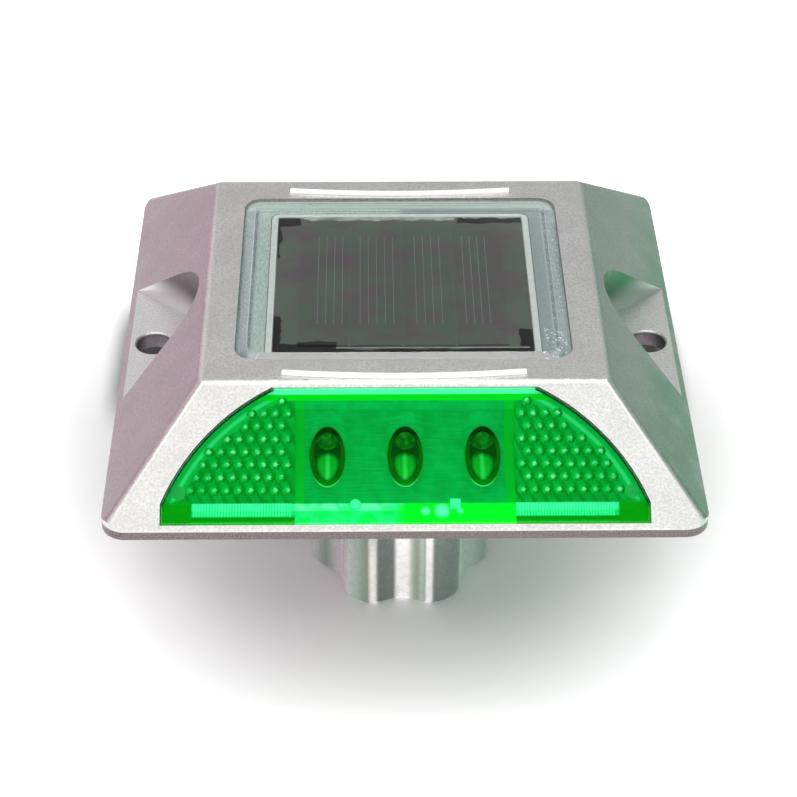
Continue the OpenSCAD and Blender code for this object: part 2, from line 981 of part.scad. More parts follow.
module led_board() {
    color("darkgreen")
        difference() {
            translate([-bay_half_w + 2 * fit, -bay_half_d, led_board_z])
                cube([2 * (bay_half_w - 2 * fit), board_t, led_board_top - led_board_z]);
            at_lamps()
                rotate([90, 0, 0])
                    for (x = [-leg_x, leg_x])
                        translate([x, 0, bay_half_d - board_t - 1])
                            cylinder(h = board_t + 2, d = leg_d + 2 * fit);
        }
}

// One LED lying on its side, its dome to the front and two legs through its board
module led() {
    color([0.6, 1, 0.7])
        translate([0, -bay_half_d, led_z])
            rotate([90, 0, 0]) {
                cylinder(h = led_flange_t, d = led_d + 2 * led_flange);
                cylinder(h = led_len - led_d / 2, d = led_d);
                translate([0, 0, led_len - led_d / 2])
                    sphere(d = led_d);
                for (x = [-leg_x, leg_x])
                    translate([x, 0, -board_t - leg_out])
                        cylinder(h = board_t + leg_out + led_flange_t, d = leg_d);
            }
}

module led_leads() {
    color("firebrick")
        for (x = [-led_lead_x, led_lead_x])
            translate([x, -board_d / 2, board_z + board_t / 2])
                rotate([90, 0, 0])
                    cylinder(h = bay_half_d - board_t - board_d / 2, r = lead_r);
}

module to_rear() {
    rotate([0, 0, 180])
        children();
}

module at_lamp(i) {
    translate([i * led_pitch, 0, 0])
        children();
}

housing();
anchor_base();
base_gasket();
base_screws();
top_window();
window_seal();
solar_panel_board();
solar_cells();
carrier_tray();
carrier_screws();
main_board();
board_screws();
control_chip();
power_inductor();
storage_capacitors();
driver_transistors();
blocking_diode();
panel_leads();
battery_cell();
battery_sleeve();
battery_tabs();
battery_leads();
lens();  // front_lens
lens_seal();  // front_lens_seal
led_board();  // front_led_board
led_leads();  // front_led_leads
at_lamp(-1) led();  // front_left_led
at_lamp(0) led();  // front_centre_led
at_lamp(1) led();  // front_right_led
to_rear() lens();  // rear_lens
to_rear() lens_seal();  // rear_lens_seal
to_rear() led_board();  // rear_led_board
to_rear() led_leads();  // rear_led_leads
to_rear() at_lamp(-1) led();  // rear_left_led
to_rear() at_lamp(0) led();  // rear_centre_led
to_rear() at_lamp(1) led();  // rear_right_led
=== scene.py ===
# %% [markdown]
# A solar road stud, dressed for a studio picture.
# The solid model of the stud is loaded first and never moved. Every step after that either gives
# one of its parts a real finish, or puts a finer piece where a plain solid stood.

# %% Load the stud
import math

import bmesh
import bpy
from mathutils import Matrix, Vector


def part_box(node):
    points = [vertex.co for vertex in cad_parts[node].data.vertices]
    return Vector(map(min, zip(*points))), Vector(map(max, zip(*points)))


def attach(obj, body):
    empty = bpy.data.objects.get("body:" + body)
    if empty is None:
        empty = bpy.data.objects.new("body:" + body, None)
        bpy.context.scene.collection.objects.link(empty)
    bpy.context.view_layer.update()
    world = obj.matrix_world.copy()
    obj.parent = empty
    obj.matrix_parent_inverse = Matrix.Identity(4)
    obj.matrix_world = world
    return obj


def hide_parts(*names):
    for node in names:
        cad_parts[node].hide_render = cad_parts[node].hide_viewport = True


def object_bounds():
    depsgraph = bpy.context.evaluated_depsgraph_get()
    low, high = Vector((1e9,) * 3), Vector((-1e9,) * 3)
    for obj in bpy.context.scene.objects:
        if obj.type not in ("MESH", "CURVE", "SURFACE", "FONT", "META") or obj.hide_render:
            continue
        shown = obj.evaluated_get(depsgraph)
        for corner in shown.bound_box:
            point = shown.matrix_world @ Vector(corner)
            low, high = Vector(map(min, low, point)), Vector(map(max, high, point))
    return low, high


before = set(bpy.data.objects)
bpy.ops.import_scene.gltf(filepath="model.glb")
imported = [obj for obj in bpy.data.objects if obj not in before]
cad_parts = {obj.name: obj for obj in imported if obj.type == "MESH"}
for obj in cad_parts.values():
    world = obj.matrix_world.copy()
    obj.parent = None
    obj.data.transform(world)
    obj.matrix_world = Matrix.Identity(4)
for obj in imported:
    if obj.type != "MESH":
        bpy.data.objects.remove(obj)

MM = 0.001
solid_box = [[float(v) for v in corner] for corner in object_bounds()]
LOWEST, HIGHEST = Vector(solid_box[0]), Vector(solid_box[1])
print("stud:", [round(v / MM, 1) for v in HIGHEST - LOWEST], "mm")

# %% [markdown]
# Colours are written as they look on a screen, as hex codes, and one function turns them into the
# linear numbers that a renderer adds and multiplies. Another adds a node, with its settings and
# whatever feeds it, so a material reads as a short list of steps. Most steps lay one colour over
# another where some value, such as a height, passes from a start to where it is full. Distances
# inside a material are real ones too: a noise whose scale is 1 / (2 * MM) has blotches about 2 mm
# wide.

# %% Colours and nodes
MIX, RANGE, NOISE = "ShaderNodeMix", "ShaderNodeMapRange", "ShaderNodeTexNoise"
MATH, VECTOR, SPLIT = "ShaderNodeMath", "ShaderNodeVectorMath", "ShaderNodeSeparateXYZ"
PLACE, JOIN, BUMP = "ShaderNodeTexCoord", "ShaderNodeCombineXYZ", "ShaderNodeBump"
COLOUR = {"data_type": "RGBA"}
SOFT = {"interpolation_type": "SMOOTHSTEP"}


def tint(code):
    """Linear colour of an sRGB hex code."""
    parts = [int(code[i:i + 2], 16) / 255 for i in (0, 2, 4)]
    return [p / 12.92 if p <= 0.04045 else ((p + 0.055) / 1.055) ** 2.4 for p in parts] + [1.0]


def add(tree, kind, feeds=(), out=None, **settings):
    """Adds a node. Feeds fill its inputs in order, or by name when they come as a dict. Each is a
    plain value, a hex colour, or the output of another node. Gives back the node or one output."""
    node = tree.nodes.new(kind)
    for name, value in settings.items():
        setattr(node, name, value)
    shown = [socket for socket in node.inputs if socket.enabled]
    for key, value in feeds.items() if isinstance(feeds, dict) else enumerate(feeds):
        socket = shown[key] if isinstance(key, int) else node.inputs[key]
        if isinstance(value, bpy.types.NodeSocket):
            tree.links.new(value, socket)
        elif value is not None:
            socket.default_value = tint(value) if isinstance(value, str) else value
    if isinstance(out, int):
        return [socket for socket in node.outputs if socket.enabled][out]
    return node.outputs[out] if out else node


def lay(tree, under, over, value, start, full, most=1.0):
    """Lays a colour over another: none of it where the value is at its start, the most where it
    is full."""
    share = add(tree, RANGE, [value, start, full, 0.0, most], 0, **SOFT)
    return add(tree, MIX, [share, under, over], 0, **COLOUR)


def within(tree, *spans):
    """A mask that is 1 where every value is past its own span, and 0 where one falls short."""
    mask = 1.0
    for value, start, full in spans:
        mask = add(tree, MATH, [mask, add(tree, RANGE, [value, start, full], 0, **SOFT)], 0,
                   operation="MULTIPLY")
    return mask


def socket_name(key):
    """The name of a shader's socket, such as Base Color for base_color."""
    return key.replace("_", " ").title().replace("Ior", "IOR")


def feed(tree, shader, **outputs):
    """Links outputs to the shader's own sockets."""
    for key, output in outputs.items():
        tree.links.new(output, shader.inputs[socket_name(key)])


def new_finish(name, **constants):
    """A material with one Principled shader. Constants go on the shader's own sockets."""
    material = bpy.data.materials.new(name)
    material.use_nodes = True
    tree = material.node_tree
    tree.nodes.clear()
    shader = add(tree, "ShaderNodeBsdfPrincipled")
    for key, value in constants.items():
        shader.inputs[socket_name(key)].default_value = value
    add(tree, "ShaderNodeOutputMaterial", {"Surface": shader.outputs[0]})
    return material, tree, shader


# %% [markdown]
# Most hidden parts need only a plain finish with a little life in it: a colour that wanders to a
# near neighbour, a roughness that wanders with it, and a fine grain.

# %% Plain grained finish
def grained(name, colour, other, grain, bump, rough, **constants):
    """A finish with its grain width and grain depth in millimetres."""
    material, tree, shader = new_finish(name, **constants)
    place = add(tree, PLACE, out="Object")
    cloud = add(tree, NOISE, [place, 1 / (grain * MM), 3.0, 0.6], "Fac")
    level = add(tree, RANGE, [cloud, 0.3, 0.7], 0, **SOFT)
    feed(tree, shader, base_color=add(tree, MIX, [level, colour, other], 0, **COLOUR),
         roughness=add(tree, RANGE, [level, 0.0, 1.0, *rough], 0),
         normal=add(tree, BUMP, {"Height": cloud, "Distance": bump * MM}, 0))
    return material


# %% [markdown]
# Pieces are built as bmesh, Blender's own editable mesh. A finished piece sits at the origin,
# unturned, with its place in its mesh, as the solids do. Where small rounds meet a large flat
# face, plain smooth shading would bend the light across the whole face. The shading normals are
# weighted by the size of the faces instead, so that flat faces stay flat.

# %% Meshes
def new_piece(name, bm, materials, smooth_angle=30):
    """An object from a bmesh. Edges sharper than the angle, in degrees, stay sharp."""
    mesh = bpy.data.meshes.new(name)
    bm.to_mesh(mesh)
    bm.free()
    for material in materials:
        mesh.materials.append(material)
    piece = bpy.data.objects.new(name, mesh)
    bpy.context.scene.collection.objects.link(piece)
    if smooth_angle:
        mesh.shade_smooth()
        mesh.set_sharp_from_angle(angle=math.radians(smooth_angle))
        modifier = piece.modifiers.new("flat_faces_stay_flat", "WEIGHTED_NORMAL")
        modifier.keep_sharp = True
        graph = bpy.context.evaluated_depsgraph_get()
        piece.data = bpy.data.meshes.new_from_object(piece.evaluated_get(graph))
        piece.modifiers.clear()
        bpy.data.meshes.remove(mesh)
    print(name, len(piece.data.polygons), "faces")
    return piece


def copy_of(node, flatten=0.3):
    """A welded copy of a solid, with each flat area back in one face."""
    bm = bmesh.new()
    bm.from_mesh(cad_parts[node].data)
    bmesh.ops.remove_doubles(bm, verts=bm.verts, dist=0.002 * MM)
    bmesh.ops.dissolve_limit(bm, angle_limit=math.radians(flatten), verts=bm.verts,
                             edges=bm.edges)
    return bm


def round_edges(bm, edges, width):
    """Rounds edges in two steps."""
    bmesh.ops.bevel(bm, geom=edges, offset=width, offset_type="OFFSET", segments=2, profile=0.5,
                    affect="EDGES", clamp_overlap=True)


def open_edges(bm):
    """How many edges don't have a face on both sides. A closed piece has none."""
    return sum(1 for edge in bm.edges if not edge.is_manifold)


def join_rings(bm, rings):
    """Lays faces between each ring of points and the next, and gives them back."""
    faces = []
    for a, b in zip(rings, rings[1:]):
        for i in range(len(a)):
            j = (i + 1) % len(a)
            faces.append(bm.faces.new((a[i], a[j], b[j], b[i])))
    return faces


def finish_piece(piece, slot, *nodes):
    """Hands a piece over: it rides on the stud and may stand in for solids. Its slot is not used.
    """
    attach(piece, "root")
    if nodes:
        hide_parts(*nodes)


def dress(material, *nodes):
    """Gives solids that keep their own shape a finish."""
    for node in nodes:
        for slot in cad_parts[node].material_slots:
            slot.material = material


# %% [markdown]
# The camera looks down at the front lens through a long lens, as for a product picture. Far away
# and zoomed in, the deck's edges stay nearly parallel.

# %% Camera
FOCAL, SENSOR, EYE = 104.47, 36.0, (-0.007281, -0.404051, 0.286897)
PITCH, YAW, ROLL = (math.radians(a) for a in (36.4315, 0.95671, 0.32085))
forward = Vector((math.sin(YAW) * math.cos(PITCH), math.cos(YAW) * math.cos(PITCH),
                  -math.sin(PITCH)))
level = Vector((math.cos(YAW), -math.sin(YAW), 0))
upright = level.cross(forward)
across = math.cos(ROLL) * level + math.sin(ROLL) * upright
upward = math.cos(ROLL) * upright - math.sin(ROLL) * level
camera_data = bpy.data.cameras.new("camera")
camera_data.lens, camera_data.sensor_width = FOCAL, SENSOR
camera = bpy.data.objects.new("camera", camera_data)
camera.matrix_world = Matrix.Translation(EYE) @ Matrix(
    (across, upward, -forward)).transposed().to_4x4()
bpy.context.scene.collection.objects.link(camera)
bpy.context.scene.camera = camera
print("camera is", round(camera.location.length, 3), "m from the stud")

# %% [markdown]
# The stud stands on the end of its stem, on a light table: a pale translucent sheet lit a little
# from below, which keeps the background near white and the shadow soft. Its glow fades out under
# the stud, which paints a shadow there. Far out to the sides the sheet is darker, so that the side
# slopes, which mirror it, keep their shape. Just behind the stem a shadow is painted on it,
# darker, where no light gets under the head. That shade is given by its middle, and by its half
# sizes where it ends and where it is full, in metres.

# %% Floor
SHADE_Y, SHADE_W, SHADE_D = 0.076, (0.075, 0.066), (0.034, 0.010)
floor_finish, tree, shader = new_finish("opal_acrylic_sheet", roughness=0.55,
                                        specular_ior_level=0.2, emission_strength=0.72)
place = add(tree, PLACE, out="Object")
axes = add(tree, SPLIT, [place])
x = axes.outputs["X"]
sheet = lay(tree, "FAFAFA", "1E3A2C", x, 0.14, 0.3)
sheet = lay(tree, sheet, "6A505E", x, -0.14, -0.32)
off_x = add(tree, MATH, [x], 0, operation="ABSOLUTE")
off_y = add(tree, MATH, [axes.outputs["Y"], SHADE_Y], 0, operation="SUBTRACT")
off_y = add(tree, MATH, [off_y], 0, operation="ABSOLUTE")
# Painted shadow: the sheet is darker just behind the stem.
shade = within(tree, (off_x, *SHADE_W), (off_y, *SHADE_D))
sheet = add(tree, MIX, [shade, sheet, "3C3A3A"], 0, **COLOUR)
feed(tree, shader, base_color=sheet)
# Painted shadow: the glow from below fades out under the stud.
from_stem = add(tree, VECTOR, [place, (0, 0.05, LOWEST.z)], "Value", operation="DISTANCE")
feed(tree, shader, emission_color=lay(tree, "000000", sheet, from_stem, 0.065, 0.13))
bm = bmesh.new()
bmesh.ops.create_grid(bm, x_segments=2, y_segments=2, size=3.0)
bmesh.ops.translate(bm, verts=bm.verts, vec=(0, 0, LOWEST.z))
floor = new_piece("floor", bm, [floor_finish], None)

# %% [markdown]
# Metal shows its surroundings, so the light is a soft room rather than a few lamps: one large
# bright panel above the front, a small brighter one straight above, and weak coloured ones low on
# the left and right. Two narrow strips behind the stud catch the rounded crests of its sides. A
# dark cloth low in front, and a shade over each side, give the hollows some depth. The world
# shader lays each over plain grey as a soft disc round its own direction. The light has a dark gap
# just where the flat front lens would mirror it, and another for the flat window, so that each
# shows what lies in it and not a haze.

# %% Light
PANELS = [
    # name, direction, cosine at the disc's edge and middle, colour
    ("dark_cloth_in_front", (0.0, -1.0, -0.05), 0.45, 0.85, (0.22, 0.22, 0.22, 1)),
    ("overhead_front", (0.0, -0.40, 0.92), 0.58, 0.92, (2.50, 2.50, 2.49, 1)),
    ("gap_in_the_front_panel", (0.016, -0.421, 0.907), 0.965, 0.984, (0.03, 0.03, 0.03, 1)),
    ("left_low", (-0.85, 0.50, 0.10), 0.55, 0.95, (0.44, 0.20, 0.32, 1)),
    ("right_low", (0.85, 0.50, 0.10), 0.50, 0.92, (0.02, 0.19, 0.10, 1)),
    ("left_hollow_shade", (-0.74, -0.40, 0.54), 0.86, 0.97, (0.16, 0.12, 0.14, 1)),
    ("right_hollow_shade", (0.74, -0.40, 0.54), 0.86, 0.97, (0.03, 0.16, 0.07, 1)),
    ("left_strip", (-0.42, 0.80, 0.43), 0.965, 0.988, (1.5, 1.45, 1.45, 1)),
    ("right_strip", (0.42, 0.80, 0.43), 0.965, 0.988, (1.0, 1.05, 1.0, 1)),
    ("gap_for_the_window", (0.0, 0.80, 0.60), 0.990, 0.9965, (0.02, 0.02, 0.02, 1)),
    ("lamp_straight_above", (0.0, 0.26, 0.966), 0.992, 0.998, (11.0, 11.0, 11.0, 1)),
]
scene = bpy.context.scene
scene.view_settings.view_transform = "Standard"
world = bpy.data.worlds.new("soft_room")
scene.world = world
world.use_nodes = True
tree = world.node_tree
tree.nodes.clear()
way = add(tree, PLACE, out="Generated")
height = add(tree, SPLIT, [way], "Z")
room = lay(tree, "A8A6A8", "CCCCCC", height, -0.1, 0.7)
for name, direction, edge, middle, colour in PANELS:
    facing = add(tree, VECTOR, [way, Vector(direction).normalized()], "Value",
                 operation="DOT_PRODUCT", label=name)
    room = lay(tree, room, colour, facing, edge, middle)
background = add(tree, "ShaderNodeBackground", [room, 1.0], 0)
add(tree, "ShaderNodeOutputWorld", [background])
print("light panels:", len(PANELS))

# %% [markdown]
# Some sizes are shared by several pieces. The front and rear faces slope at one angle and the
# sides at another. A place on the front or rear face is given as x across, v up the slope from
# its foot, and w out of it, all in millimetres.

# %% Slopes
RIM, DECK, CORNER = 2.3 * MM, 20.8 * MM, 6 * MM
HALF_W, HALF_D = HIGHEST.x, HIGHEST.y
DECK_HALF_W, DECK_HALF_D = 40.25 * MM, 37.75 * MM
FRONT_SLOPE = math.atan2(DECK - RIM, HALF_D - DECK_HALF_D)
SIDE_SLOPE = math.atan2(DECK - RIM, HALF_W - DECK_HALF_W)
RISE, RUN = math.sin(FRONT_SLOPE), math.cos(FRONT_SLOPE)
print("slopes:", round(math.degrees(FRONT_SLOPE), 1), round(math.degrees(SIDE_SLOPE), 1), "deg")


def envelope(point):
    """Height of the plain four-sided head over a point, without its roundings."""
    front = RIM + (HALF_D - abs(point.y)) * math.tan(FRONT_SLOPE)
    side = RIM + (HALF_W - abs(point.x)) * math.tan(SIDE_SLOPE)
    return min(front, side, DECK)


def on_slope(x, v, w, end):
    """Point on the front (end -1) or rear (end 1) slope."""
    return Vector((x * MM, end * (HALF_D - (RUN * v - RISE * w) * MM),
                   RIM + (RISE * v + RUN * w) * MM))


def slope_places(tree):
    """The same x, v and w as outputs of nodes, for a finish on either slope."""
    place = add(tree, PLACE, out="Object")
    folded = add(tree, VECTOR, [place], 0, operation="ABSOLUTE")
    from_foot = add(tree, VECTOR, [folded, (0, HALF_D, RIM)], 0, operation="SUBTRACT")
    x = add(tree, MATH, [add(tree, SPLIT, [place], "X"), 1 / MM], 0, operation="MULTIPLY")
    v = add(tree, VECTOR, [from_foot, (0, -RUN / MM, RISE / MM)], "Value",
            operation="DOT_PRODUCT")
    w = add(tree, VECTOR, [from_foot, (0, RISE / MM, RUN / MM)], "Value",
            operation="DOT_PRODUCT")
    return x, v, w


# %% [markdown]
# The head is one die casting. A casting has no knife edges, so every outer edge that the solid
# model leaves sharp gets a fine round: the rim, the lens recess, the window pocket and the
# scallops. The soft crests round the deck are in the solid already, and the inside stays as it is.
# The copy is welded first, because the solid comes as loose triangles, and a bevel can only work
# on joined ones.

# %% Head
EDGE_ROUND = 0.22 * MM


def outer_edges(bm):
    """Every sharp edge on the outside of the head."""
    picked = []
    for edge in bm.edges:
        if len(edge.link_faces) != 2 or edge.calc_length() < 0.5 * MM:
            continue
        if not edge.is_convex or edge.calc_face_angle() < math.radians(25):
            continue
        ends = [v.co for v in edge.verts]
        on_rim = all(HALF_W - abs(p.x) < 0.05 * MM or HALF_D - abs(p.y) < 0.05 * MM
                     or (abs(p.x) > HALF_W - CORNER and abs(p.y) > HALF_D - CORNER)
                     for p in ends)
        on_face = all(abs(p.z - envelope(p)) < 0.5 * MM and p.z > RIM for p in ends)
        if on_rim or on_face:
            picked.append(edge)
    return picked


bm = copy_of("housing")
edges = outer_edges(bm)
round_edges(bm, edges, EDGE_ROUND)
print("edges rounded:", len(edges), "open edges:", open_edges(bm))

# %% [markdown]
# Bead blasting leaves the aluminium satin, with a grain of about half a millimetre that sparkles.
# The upright rim below the slopes and the walls of the fixing holes are painted darker, a painted
# shade. The tops of the two raised bars are painted near white and glow, a painted highlight. The
# shade in the scallops is painted too: their walls go from light at the foot to dark at the top,
# and green at the top of the right one, a painted reflection, with a faint glow at the foot and on
# the left floor. The right slope is painted green towards its outer end, a painted reflection of
# its green surroundings.

# %% Cast aluminium
HOLE_X, HOLE_R = 52.6 * MM, 3.95 * MM
SCALLOP_FLOOR, SCALLOP_HALF_D, SCALLOP_IN = 3.6 * MM, 26.0 * MM, 17.0 * MM
cast, tree, shader = new_finish("bead_blasted_cast_aluminium", metallic=0.92,
                                emission_strength=0.4)
place = add(tree, PLACE, out="Object")
grit = add(tree, NOISE, [place, 1 / (0.45 * MM), 2.0, 0.6], "Fac")
skin = lay(tree, "C8C7C5", "E0DFDD", grit, 0.32, 0.68)
cloud = add(tree, NOISE, [place, 1 / (9 * MM), 3.0, 0.6], "Fac")
skin = lay(tree, skin, "B9B8B6", cloud, 0.35, 0.7, 0.25)
normal = add(tree, SPLIT, [add(tree, "ShaderNodeNewGeometry", out="Normal")])
# Painted reflection: the right slope turns green towards its outer end.
drift = add(tree, VECTOR, [place, (1.0, -0.1, 0.0)], "Value", operation="DOT_PRODUCT")
green_reflection = within(tree, (drift, 47 * MM, 57 * MM), (normal.outputs["X"], 0.55, 0.65),
                 (cloud, 0.25, 0.55))
skin = add(tree, MIX, [green_reflection, skin, "D0F6E2"], 0, blend_type="MULTIPLY", **COLOUR)
folded = add(tree, VECTOR, [place], 0, operation="ABSOLUTE")
on_plan = add(tree, VECTOR, [folded, (1, 1, 0)], 0, operation="MULTIPLY")
from_hole = add(tree, VECTOR, [on_plan, (HOLE_X, 0, 0)], "Value", operation="DISTANCE")
# Painted shade: the upright rim and the walls of the fixing holes are darker.
in_hole = add(tree, RANGE, [from_hole, HOLE_R, HOLE_R - 0.2 * MM], 0, **SOFT)
z = add(tree, SPLIT, [place], "Z")
on_rim = add(tree, RANGE, [z, 1.95 * MM, 1.75 * MM], 0, **SOFT)
rim_and_hole_shade = add(tree, MATH, [in_hole, on_rim], 0, operation="MAXIMUM")
fine = add(tree, NOISE, [place, 1 / (0.25 * MM), 2.0, 0.6], "Fac")
rim_shade_skin = lay(tree, "544D4C", "8A8482", fine, 0.3, 0.7)
skin = add(tree, MIX, [rim_and_hole_shade, skin, rim_shade_skin], 0, **COLOUR)
bore_skin = lay(tree, "5C565A", "7E767C", cloud, 0.35, 0.7)
skin = add(tree, MIX, [in_hole, skin, bore_skin], 0, **COLOUR)
axes = add(tree, SPLIT, [folded])
upright = add(tree, MATH, [normal.outputs["Z"]], 0, operation="ABSOLUTE")
in_scallop = ((axes.outputs["X"], HOLE_X - SCALLOP_IN, HOLE_X - SCALLOP_IN + 0.5 * MM),
              (axes.outputs["Y"], SCALLOP_HALF_D, SCALLOP_HALF_D - 0.3 * MM))
wall = within(tree, (upright, 0.45, 0.2), *in_scallop,
              (z, SCALLOP_FLOOR - 0.3 * MM, SCALLOP_FLOOR))
rise = add(tree, RANGE, [z, SCALLOP_FLOOR + 1.0 * MM, SCALLOP_FLOOR + 8.0 * MM], 0, **SOFT)
on_left = add(tree, RANGE, [add(tree, SPLIT, [place], "X"), 1 * MM, -1 * MM], 0)
wall_top = add(tree, MIX, [on_left, "42805C", "6E666A"], 0, **COLOUR)
wall_low = add(tree, MIX, [on_left, "AAB2AD", "D8D6D6"], 0, **COLOUR)
wall_skin = add(tree, MIX, [rise, wall_low, wall_top], 0, **COLOUR)
skin = add(tree, MIX, [wall, skin, wall_skin], 0, **COLOUR)
wall_foot = add(tree, MATH, [add(tree, RANGE, [rise, 1.0, 0.0], 0), wall], 0,
                operation="MULTIPLY")
foot_glow = add(tree, MIX, [on_left, "7C8A82", "A8A4A6"], 0, **COLOUR)
glow = add(tree, MIX, [wall_foot, "000000", foot_glow], 0, **COLOUR)
on_floor = within(tree, *in_scallop, (z, SCALLOP_FLOOR + 0.1 * MM, SCALLOP_FLOOR + 0.02 * MM),
                  (z, SCALLOP_FLOOR - 0.1 * MM, SCALLOP_FLOOR - 0.02 * MM))
on_floor = add(tree, MATH, [on_floor, on_left], 0, operation="MULTIPLY")
glow = add(tree, MIX, [on_floor, glow, "7C8083"], 0, **COLOUR)
# Painted highlight: the tops of the raised bars are near white and glow.
on_bar = add(tree, RANGE, [z, DECK + 0.04 * MM, DECK + 0.12 * MM], 0, **SOFT)
feed(tree, shader, base_color=add(tree, MIX, [on_bar, skin, "F8F6F6"], 0, **COLOUR),
     emission_color=add(tree, MIX, [on_bar, glow, "FFFCFC"], 0, **COLOUR),
     roughness=add(tree, RANGE, [grit, 0.3, 0.7, 0.36, 0.5], 0),
     normal=add(tree, BUMP, {"Height": grit, "Distance": 0.06 * MM}, 0))
head = new_piece("cast_head", bm, [cast], 18)
finish_piece(head, "cast_head", "housing")

# %% [markdown]
# The anchor below the road is a second casting, tumbled until it shines. Its shine is painted:
# upright streaks of painted reflection, lighter and darker, laid out by the angle round the stem,
# measured from the flute that faces the front or the rear, and counted the same way on both. Its
# whole colour is also given as a faint glow, painted light. The flat end of the stem faces down,
# and is given one plain tone in their place.

# %% Anchor
# Painted reflections: streaks of light and dark round the stem.
REFLECTION_STREAKS = [
    # angle from the middle flute in degrees, colour
    (-80, "A0A3A0"), (-72, "7E8983"), (-64, "AAAEAC"), (-57, "BCA6B2"),
    (-48, "B89EAC"), (-42, "B5ACB0"), (-37, "BDC3C1"), (-29, "9FAFA5"), (-25, "8A978B"),
    (-22.5, "8B958B"), (-20.5, "F4F0EE"), (-18, "F4F0EE"), (-16, "6A706D"), (-6, "707572"),
    (-3, "FAF6F6"), (5, "FAF6F6"), (7.5, "C5C6C1"), (10, "98A598"), (12, "919F91"),
    (14.5, "B4C2BA"), (16.3, "9EA8A5"), (17.3, "F6F2F2"), (20.0, "F6F2F2"), (22, "737D79"),
    (44, "6A7B73"), (49, "96B3A3"), (70, "9BACA4"), (80, "7E9286")]
shine, tree, shader = new_finish("tumbled_cast_aluminium", metallic=0.85, emission_strength=0.42)
place = add(tree, PLACE, out="Object")
axes = add(tree, SPLIT, [place])
out_y = add(tree, MATH, [axes.outputs["Y"]], 0, operation="ABSOLUTE")
turn = add(tree, MATH, [axes.outputs["X"], out_y], 0, operation="ARCTAN2")
share = add(tree, RANGE, [turn, -math.pi / 2, math.pi / 2], 0)
ramp = add(tree, "ShaderNodeValToRGB", [share])
stops = ramp.color_ramp.elements
for angle, colour in REFLECTION_STREAKS:
    stops.new((angle + 90) / 180).color = tint(colour)
stops[0].color, stops[len(stops) - 1].color = tint(REFLECTION_STREAKS[0][1]), tint(REFLECTION_STREAKS[-1][1])
cloud = add(tree, NOISE, [place, 1 / (1.6 * MM), 4.0, 0.6], "Fac")
skin = lay(tree, ramp.outputs[0], "8A8E8B", cloud, 0.35, 0.75, 0.25)
downward = add(tree, SPLIT, [add(tree, "ShaderNodeNewGeometry", out="Normal")], "Z")
skin = lay(tree, skin, "8A8E8B", downward, -0.8, -0.95)
# Painted light: the colour is also given as a glow.
feed(tree, shader, base_color=skin, emission_color=skin,
     roughness=add(tree, RANGE, [cloud, 0.3, 0.7, 0.2, 0.32], 0),
     normal=add(tree, BUMP, {"Height": cloud, "Distance": 0.02 * MM}, 0))
anchor = new_piece("anchor_casting", copy_of("anchor_base", 0.1), [shine], 40)
finish_piece(anchor, "anchor_metal", "anchor_base")

# %% [markdown]
# Small shapes that repeat are made by Geometry Nodes. The first tree stamps a short cone or
# cylinder on every point it is given, and serves for the prisms of a lens, its moulding marks and
# its locating pegs. The second lays a row of equal bars, for ribs and for printed contact lines.
# The third scatters round bubbles in a box.

# %% Geometry Nodes
def new_tree(name, sockets):
    """A tree with named inputs, and the outputs that carry them into it."""
    tree = bpy.data.node_groups.new(name, "GeometryNodeTree")
    for label, kind in [("Geometry", "Geometry")] + sockets:
        tree.interface.new_socket(label, in_out="INPUT", socket_type="NodeSocket" + kind)
    tree.interface.new_socket("Geometry", in_out="OUTPUT", socket_type="NodeSocketGeometry")
    return tree, add(tree, "NodeGroupInput").outputs


def end_tree(tree, instances, material):
    """Makes the instances real, gives them their finish and hands them out."""
    real = add(tree, "GeometryNodeRealizeInstances", {0: instances}, 0)
    painted = add(tree, "GeometryNodeSetMaterial", {"Geometry": real, "Material": material}, 0)
    add(tree, "NodeGroupOutput", {0: painted})


stamp_tree, given = new_tree("stamp_on_points", [
    ("Sides", "Int"), ("Foot Radius", "Float"), ("Tip Radius", "Float"), ("Height", "Float"),
    ("Turn", "Vector"), ("Material", "Material")])
cone = add(stamp_tree, "GeometryNodeMeshCone", {
    "Vertices": given["Sides"], "Radius Top": given["Tip Radius"],
    "Radius Bottom": given["Foot Radius"], "Depth": given["Height"]}, "Mesh")
stamped = add(stamp_tree, "GeometryNodeInstanceOnPoints", {
    "Points": given["Geometry"], "Instance": cone, "Rotation": given["Turn"]}, 0)
end_tree(stamp_tree, stamped, given["Material"])

row_tree, given = new_tree("row_of_bars", [
    ("Count", "Int"), ("Start", "Vector"), ("Step", "Vector"), ("Size", "Vector"),
    ("Turn", "Vector"), ("Material", "Material")])
line = add(row_tree, "GeometryNodeMeshLine", {
    "Count": given["Count"], "Start Location": given["Start"], "Offset": given["Step"]}, 0,
    mode="OFFSET")
bar = add(row_tree, "GeometryNodeMeshCube", {"Size": given["Size"]}, "Mesh")
laid = add(row_tree, "GeometryNodeInstanceOnPoints", {
    "Points": line, "Instance": bar, "Rotation": given["Turn"]}, 0)
end_tree(row_tree, laid, given["Material"])

bubble_tree, given = new_tree("bubbles_in_a_box", [
    ("Count", "Int"), ("Low Corner", "Vector"), ("High Corner", "Vector"), ("Radius", "Float"),
    ("Seed", "Int"), ("Material", "Material")])
line = add(bubble_tree, "GeometryNodeMeshLine", {"Count": given["Count"]}, 0, mode="OFFSET")
spot = add(bubble_tree, "FunctionNodeRandomValue",
           [given["Low Corner"], given["High Corner"], None, given["Seed"]], 0,
           data_type="FLOAT_VECTOR")
spread = add(bubble_tree, "GeometryNodeSetPosition", {"Geometry": line, "Position": spot}, 0)
ball = add(bubble_tree, "GeometryNodeMeshIcoSphere",
           {"Radius": given["Radius"], "Subdivisions": 2}, "Mesh")
swell = add(bubble_tree, "FunctionNodeRandomValue", [0.35, 1.0, None, given["Seed"]], 0,
            data_type="FLOAT")
blown = add(bubble_tree, "GeometryNodeInstanceOnPoints",
            {"Points": spread, "Instance": ball, "Scale": swell}, 0)
end_tree(bubble_tree, blown, given["Material"])


